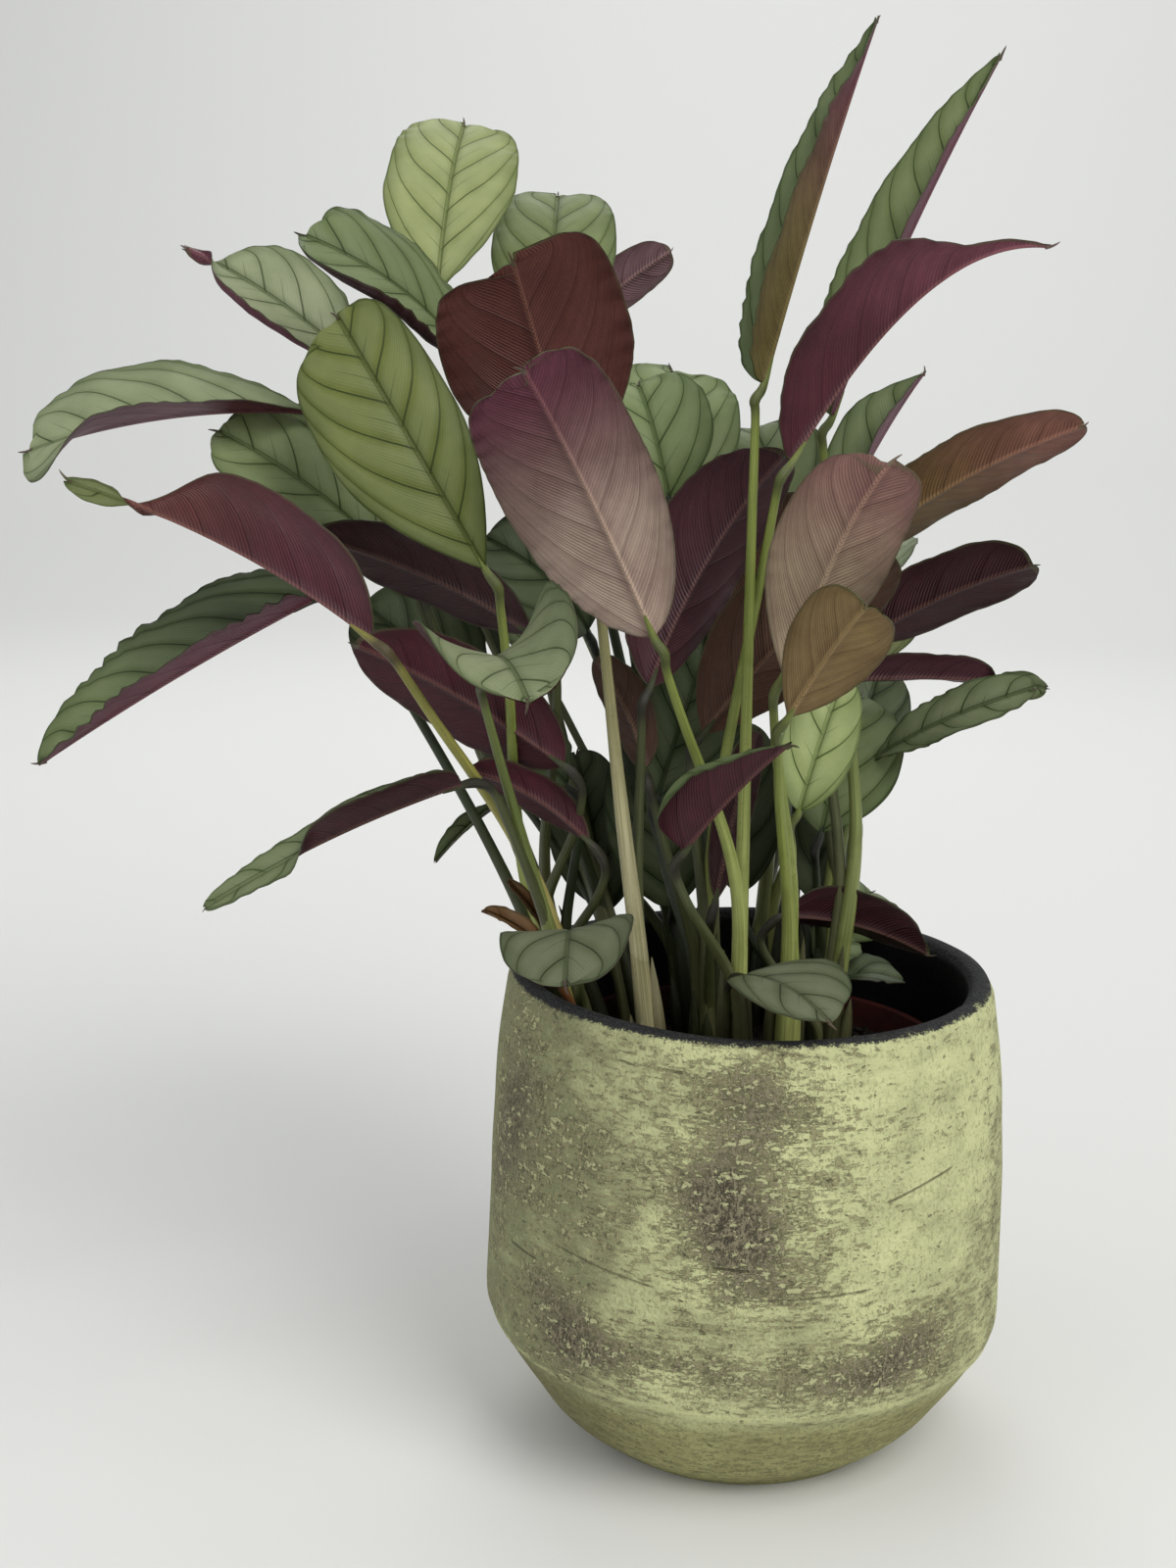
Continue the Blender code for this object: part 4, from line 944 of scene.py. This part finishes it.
def pot_material():
    """Dark clay under a matt moss-green coat, rubbed to grains and flaked in strokes round the pot."""
    graph = Graph("worn_green_clay")
    place = graph.place()
    x, y, z = graph.split(place)
    angle = y.calc("ARCTAN2", x)
    _, coated = graph.attribute("tint")
    flat = graph.join(x * 0.5, y * 0.5, z)
    flatter = graph.join(x * 0.24, y * 0.24, z)
    upright = graph.join(x, y, z * 0.6)
    broad = graph.noise(place, 46.0, 2.0, 0.5, 0.4)
    middle = graph.noise(flat, 8.0, 4.0, 0.6, 0.3)
    flakes = graph.noise(flat, 2.4, 3.0, 0.6, 0.8)
    strokes = graph.noise(flatter, 1.3, 3.0, 0.6)
    cells = graph.noise(upright, 1.3, 2.0, 0.6, 0.5)
    grit = graph.noise(place, 0.8, 2.0, 0.6)
    grain = graph.noise(place, 0.42, 1.0) - 0.5
    worn = worn_share(z, angle, broad)
    bowl = z.step(RIDGE_HEIGHT, 34.0)
    # left: the pot's left side, greyer and darker, partly its worn coat and partly painted shade from the
    # light falling from the right.
    left = (angle + radians(150.0)).sine().size().step(0.95, 0.2) * x.step(10.0, -60.0)
    patchy = (strokes - 0.5) * 0.45 + (cells - 0.5) * 0.4 + (flakes - 0.5) * 0.35 + (middle - 0.5) * 0.3
    bare = (patchy + (worn - 0.27) * 0.36).step(-0.02, 0.02)
    deep = (patchy * 0.5 + (cells - 0.5) * 0.7 + (worn - 0.52 - bowl * 0.1) * 0.75).step(-0.04, 0.05)
    # The coat greys with slow random changes, and on the left side with painted shade as well.
    film = (broad.step(0.35, 0.65) * 0.35 + middle.step(0.35, 0.65) * 0.3 + left * 0.65).calc("MINIMUM", 1.0)
    flake = (flakes * 0.5 + strokes * 0.3 + cells * 0.2).step(0.545, 0.575) * worn.step(0.15, 0.35)
    # line: a painted highlight along the raised ridge under the shoulder, broken up by the flakes.
    line = (z - 44.6 - (angle * 3.0 + 1.0).sine() * 0.8).size().step(1.5, 0.4)
    chips = graph.noise(flat, 2.2, 1.0).step(0.72, 0.75)
    marks = scratch_share(z, angle, middle).calc("MAXIMUM", chips * 0.7)
    ragged_rim = z + (flakes - 0.5) * 2.4 + (grit - 0.5) * 3.0
    rim = ragged_rim.step(169.0, 170.0).calc("MAXIMUM", 1.0 - coated)
    coat = graph.layers(
        graph.mix(film, rgb(203, 206, 154), rgb(132, 134, 100)),
        (cells.step(0.46, 0.36) * 0.4, rgb(122, 122, 88)),
        (cells.step(0.56, 0.66) * 0.35, rgb(206, 207, 160)))
    dull = graph.mix((cells + grain * 0.5).step(0.4, 0.6), rgb(94, 90, 69), rgb(146, 142, 106))
    dark = graph.mix((cells + grain * 0.6).step(0.4, 0.62), rgb(66, 60, 50), rgb(132, 124, 102))
    bands = (strokes * 0.6 + cells * 0.4).step(0.42, 0.56)
    streaky = graph.mix(bands, rgb(112, 108, 70), rgb(162, 158, 106))
    # On the left the bowl darkens further, as painted shade.
    streaky = graph.mix(left * 0.6, streaky, rgb(84, 77, 50))
    charcoal = graph.mix(grit.step(0.4, 0.75), rgb(36, 37, 38), rgb(64, 65, 64))
    body = graph.layers(
        coat, (bare * 0.9, dull), (deep * 0.92, dark), (flake * 0.8, rgb(190, 191, 145)),
        # The pale ridge line is a painted highlight.
        (bowl * 0.75, streaky), (line * flakes.step(0.38, 0.55) * 0.6, rgb(196, 198, 146)),
        # Rim: charcoal clay on the lip; inside, dark clay darkened to near black as painted shade.
        (marks * 0.8, rgb(76, 70, 52)), (rim, graph.mix(z.step(168.5, 166.0), charcoal, rgb(16, 16, 17))))
    height = cells * 0.9 + grit * 0.2 + flakes * 0.3 + strokes * 0.3 - bare * 0.2 + flake * 0.3 - marks
    return graph.finish(body, 0.86, 0.22, graph.bump(height, 0.0009))


def make_pot():
    """The clay pot. The tint's alpha is 1 where it has its coat."""
    outside, lip = rounded(POT_OUTSIDE, COAT_ROWS), rounded(POT_LIP, LIP_ROWS)
    profile = outside + lip + rounded(POT_INSIDE, INSIDE_ROWS)
    coated = len(outside) + LIP_ROWS
    shell = Shell()
    turned(shell, profile, 256, pot_wobble, [1.0] * coated + [0.0] * (len(profile) - coated))
    piece = shell.build("clay_pot", [pot_material()], 60.0)
    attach(piece, "root")
    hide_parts("pot")


def nursery_material():
    """Matt terracotta-coloured plastic, darkened all over as painted shade, with a faint dusty bloom."""
    graph = Graph("terracotta_plastic")
    place = graph.place()
    dust = graph.noise(place, 9.0, 3.0)
    grain = graph.noise(place, 0.7)
    # Both base tones are terracotta darkened as painted shade.
    body = graph.mix(dust.step(0.35, 0.75), rgb(62, 21, 17), rgb(48, 16, 13))
    body = graph.mix(dust.step(0.6, 0.8) * 0.3, body, rgb(84, 64, 54))
    return graph.finish(body, grain * 0.2 + 0.5, 0.4, graph.bump(grain, 0.0001))


# The nursery pot: height of its foot and wall top, wall, slope, and its rim band (radius, height)
NURSERY_FOOT = 10.3
NURSERY_WALL_TOP = 137.0
NURSERY_WALL = 1.2
NURSERY_SLOPE = 20.0 / 133.0
NURSERY_BAND = [(70.8, 137.6), (71.4, 138.4), (71.8, 140.5), (71.9, 142.2), (71.4, 142.9), (70.2, 143.0),
                (69.0, 142.6)]


def nursery_radius(z):
    return 50.0 + NURSERY_SLOPE * (z - 10.0)


def make_nursery_pot():
    """The nursery pot with its rolled rim band. Its base can't be seen and is left whole."""
    outside = [(nursery_radius(z), z) for z in np.linspace(NURSERY_FOOT, NURSERY_WALL_TOP, 24)]
    inside = [(nursery_radius(z) - NURSERY_WALL, z)
              for z in np.linspace(NURSERY_WALL_TOP, NURSERY_FOOT + NURSERY_WALL, 12)]
    shell = Shell()
    turned(shell, outside + NURSERY_BAND + inside, 128)
    piece = shell.build("nursery_pot", [nursery_material()], 40.0)
    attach(piece, "root")
    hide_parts("grow_pot")


def soil_material():
    """Dark crumbly potting soil. The tint holds the tone of each crumb."""
    graph = Graph("potting_soil")
    place = graph.place()
    tint, _ = graph.attribute("tint")
    lumps = graph.noise(place, 2.5, 4.0, 0.7)
    body = graph.mix(lumps.step(0.3, 0.7), graph.times(tint, rgb(140, 140, 140)), tint)
    return graph.finish(body, 0.95, 0.2, graph.bump(lumps, 0.0015))


# The soil's rings (radius, height), crumbs, their reach from the middle, and crumb tones from common to rare
SOIL_RINGS = ([(49.0, 12.0), (66.6, 131.0), (66.9, 133.2), (63.0, SOIL_TOP)]
              + [(radius, SOIL_TOP) for radius in range(58, 0, -6)])
CRUMBS = 1100
CRUMB_REACH = 66.0
CRUMB_TONES = ((24, 19, 14), (34, 28, 21), (46, 37, 28), (66, 54, 40), (112, 102, 84))


def make_soil():
    """The soil: an uneven top covered with crumbs, bark and a few pale bits."""
    dice = np.random.default_rng(7)

    def soil_wobble(radius, height, angle, _):
        x, y = radius * cos(angle), radius * sin(angle)
        bump = sin(x * 0.21 + 1.0) * cos(y * 0.26) + 0.6 * sin(x * 0.11 - y * 0.17)
        bump += dice.uniform(-0.5, 0.5)
        return radius, height + (bump if height == SOIL_TOP else 0.0)

    shell = Shell()
    turned(shell, SOIL_RINGS, 96, soil_wobble, tone=rgb(30, 25, 19))
    golden = (1 + 5 ** 0.5) / 2
    pairs = [(a, b * golden) for a in (-1, 1) for b in (-1, 1)]
    ball = [(a, b, 0) for a, b in pairs] + [(0, a, b) for a, b in pairs] + [(b, 0, a) for a, b in pairs]
    ball = np.array(ball, float) / 1.9
    ball_faces = hull_faces(ball)
    for _ in range(CRUMBS):
        angle, far = dice.uniform(0, 2 * pi), CRUMB_REACH * dice.uniform(0, 1) ** 0.5
        size = dice.uniform(0.5, 1.7)
        stretch = dice.uniform(0.6, 1.5, 3)
        if dice.uniform() < 0.12:
            stretch = np.array([dice.uniform(3, 6), 0.7, 0.6])
            far = min(far, CRUMB_REACH - 5.0)
        turn = dice.uniform(0, pi)
        x, y, z = (ball * stretch * size * dice.uniform(0.8, 1.2, (12, 3))).T
        bit = np.stack([x * cos(turn) - y * sin(turn), x * sin(turn) + y * cos(turn), z], axis=1)
        far = min(far, CRUMB_REACH - size * 1.6)
        centre = (far * cos(angle), far * sin(angle), SOIL_TOP + 0.5)
        tone = rgb(*CRUMB_TONES[min(4, int(dice.exponential(1.1)))])
        shell.add(bit + centre, ball_faces, 0, np.zeros((12, 2)), np.tile((*tone, 1.0), (12, 1)))
    piece = shell.build("potting_soil", [soil_material()], 30.0)
    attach(piece, "root")
    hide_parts("soil")


def hull_faces(points):
    """Triangles of the convex shape round a few points, facing out."""
    faces = []
    for a, b, c in combinations(range(len(points)), 3):
        normal = np.cross(points[b] - points[a], points[c] - points[a])
        sides = (points - points[a]) @ normal
        if np.all(sides < 1e-6):
            faces.append((a, b, c))
        elif np.all(sides > -1e-6):
            faces.append((a, c, b))
    return faces


# The floor in metres: half width, where it ends in front, where it starts to rise, radius of the rise, height
FLOOR_HALF, FLOOR_FRONT, FLOOR_BACK, FLOOR_RISE, FLOOR_HEIGHT = 20.0, -20.0, 2.2, 1.5, 12.0


def make_stage():
    """A wide plain pale floor that rises behind the plant in one smooth sweep."""
    graph = Graph("pale_floor")
    graph.finish(rgb(226, 226, 224), 0.9, 0.1)
    sweep = [(FLOOR_FRONT, 0.0), (FLOOR_BACK, 0.0)]
    for turn in np.linspace(0.0, pi / 2.0, 33)[1:]:
        sweep.append((FLOOR_BACK + FLOOR_RISE * sin(turn), FLOOR_RISE - FLOOR_RISE * cos(turn)))
    sweep.append((FLOOR_BACK + FLOOR_RISE, FLOOR_HEIGHT))
    corners = [(x, y, z) for y, z in sweep for x in (-FLOOR_HALF, FLOOR_HALF)]
    mesh = bpy.data.meshes.new("floor")
    mesh.from_pydata(corners, [], [(2 * i, 2 * i + 1, 2 * i + 3, 2 * i + 2) for i in range(len(sweep) - 1)])
    mesh.materials.append(graph.material)
    mesh.shade_smooth()
    floor = bpy.data.objects.new("floor", mesh)
    bpy.context.scene.collection.objects.link(floor)
    floor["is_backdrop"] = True


def make_light(name, place, size, power, colour=(1.0, 1.0, 1.0), target=(0.0, 0.0, 0.24)):
    """A soft square light aimed at the plant or at another target, in metres."""
    lamp = bpy.data.lights.new(name, "AREA")
    lamp.size = size
    lamp.energy = power
    lamp.color = colour
    obj = bpy.data.objects.new(name, lamp)
    obj.location = place
    way = np.array(target) - np.array(obj.location)
    obj.rotation_euler = (atan2(hypot(way[0], way[1]), -way[2]), 0.0, atan2(-way[0], way[1]))
    bpy.context.scene.collection.objects.link(obj)


def make_world(strength):
    """An even pale surrounding light."""
    world = bpy.data.worlds.new("studio")
    world.use_nodes = True
    background = world.node_tree.nodes["Background"]
    background.inputs["Color"].default_value = (0.93, 0.95, 0.96, 1.0)
    background.inputs["Strength"].default_value = strength
    bpy.context.scene.world = world


def make_camera():
    """The photograph's viewpoint: distance, height, turn, tilt and roll worked out from the pot's outline."""
    distance, height, focal_share, sensor = 0.699, 0.380, 2077.0 / 1600.0, 36.0
    pitch, roll, yaw = radians(11.67), radians(1.03), radians(-4.85)
    forward = np.array([sin(yaw) * cos(pitch), cos(yaw) * cos(pitch), -sin(pitch)])
    level = np.array([cos(yaw), -sin(yaw), 0.0])
    up = np.cross(level, forward)
    camera = bpy.data.cameras.new("camera")
    camera.sensor_fit = "VERTICAL"
    camera.sensor_height = sensor
    camera.lens = sensor * focal_share
    camera.clip_start = 0.01
    obj = bpy.data.objects.new("camera", camera)
    matrix = np.eye(4)
    matrix[:3, 0] = cos(roll) * level + sin(roll) * up
    matrix[:3, 1] = cos(roll) * up - sin(roll) * level
    matrix[:3, 2] = -forward
    matrix[:3, 3] = (0.0, -distance, height)
    obj.matrix_world = Matrix(matrix.tolist())
    bpy.context.scene.collection.objects.link(obj)
    bpy.context.scene.camera = obj


def main():
    bpy.context.scene.view_settings.view_transform = "Standard"
    make_camera()
    make_stage()
    make_world(0.58)
    make_light("key", (1.1, -1.3, 1.9), 1.5, 35.5, (1.0, 0.99, 0.96))
    make_light("fill", (-1.6, -1.0, 1.0), 1.8, 7.0, (0.95, 0.97, 1.0))
    make_light("back", (-0.3, 1.5, 1.6), 1.2, 8.0)
    make_light("wall", (0.0, 1.9, 2.6), 1.6, 22.5, target=(0.0, 3.7, 0.9))
    make_pot()
    make_nursery_pot()
    make_soil()
    materials = [blade_upper(), blade_under(), stalk_material()]
    for number, name in enumerate(SHOOTS, start=1):
        make_shoot(name, number, materials)


main()
bpy.context.view_layer.update()
seen_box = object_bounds()
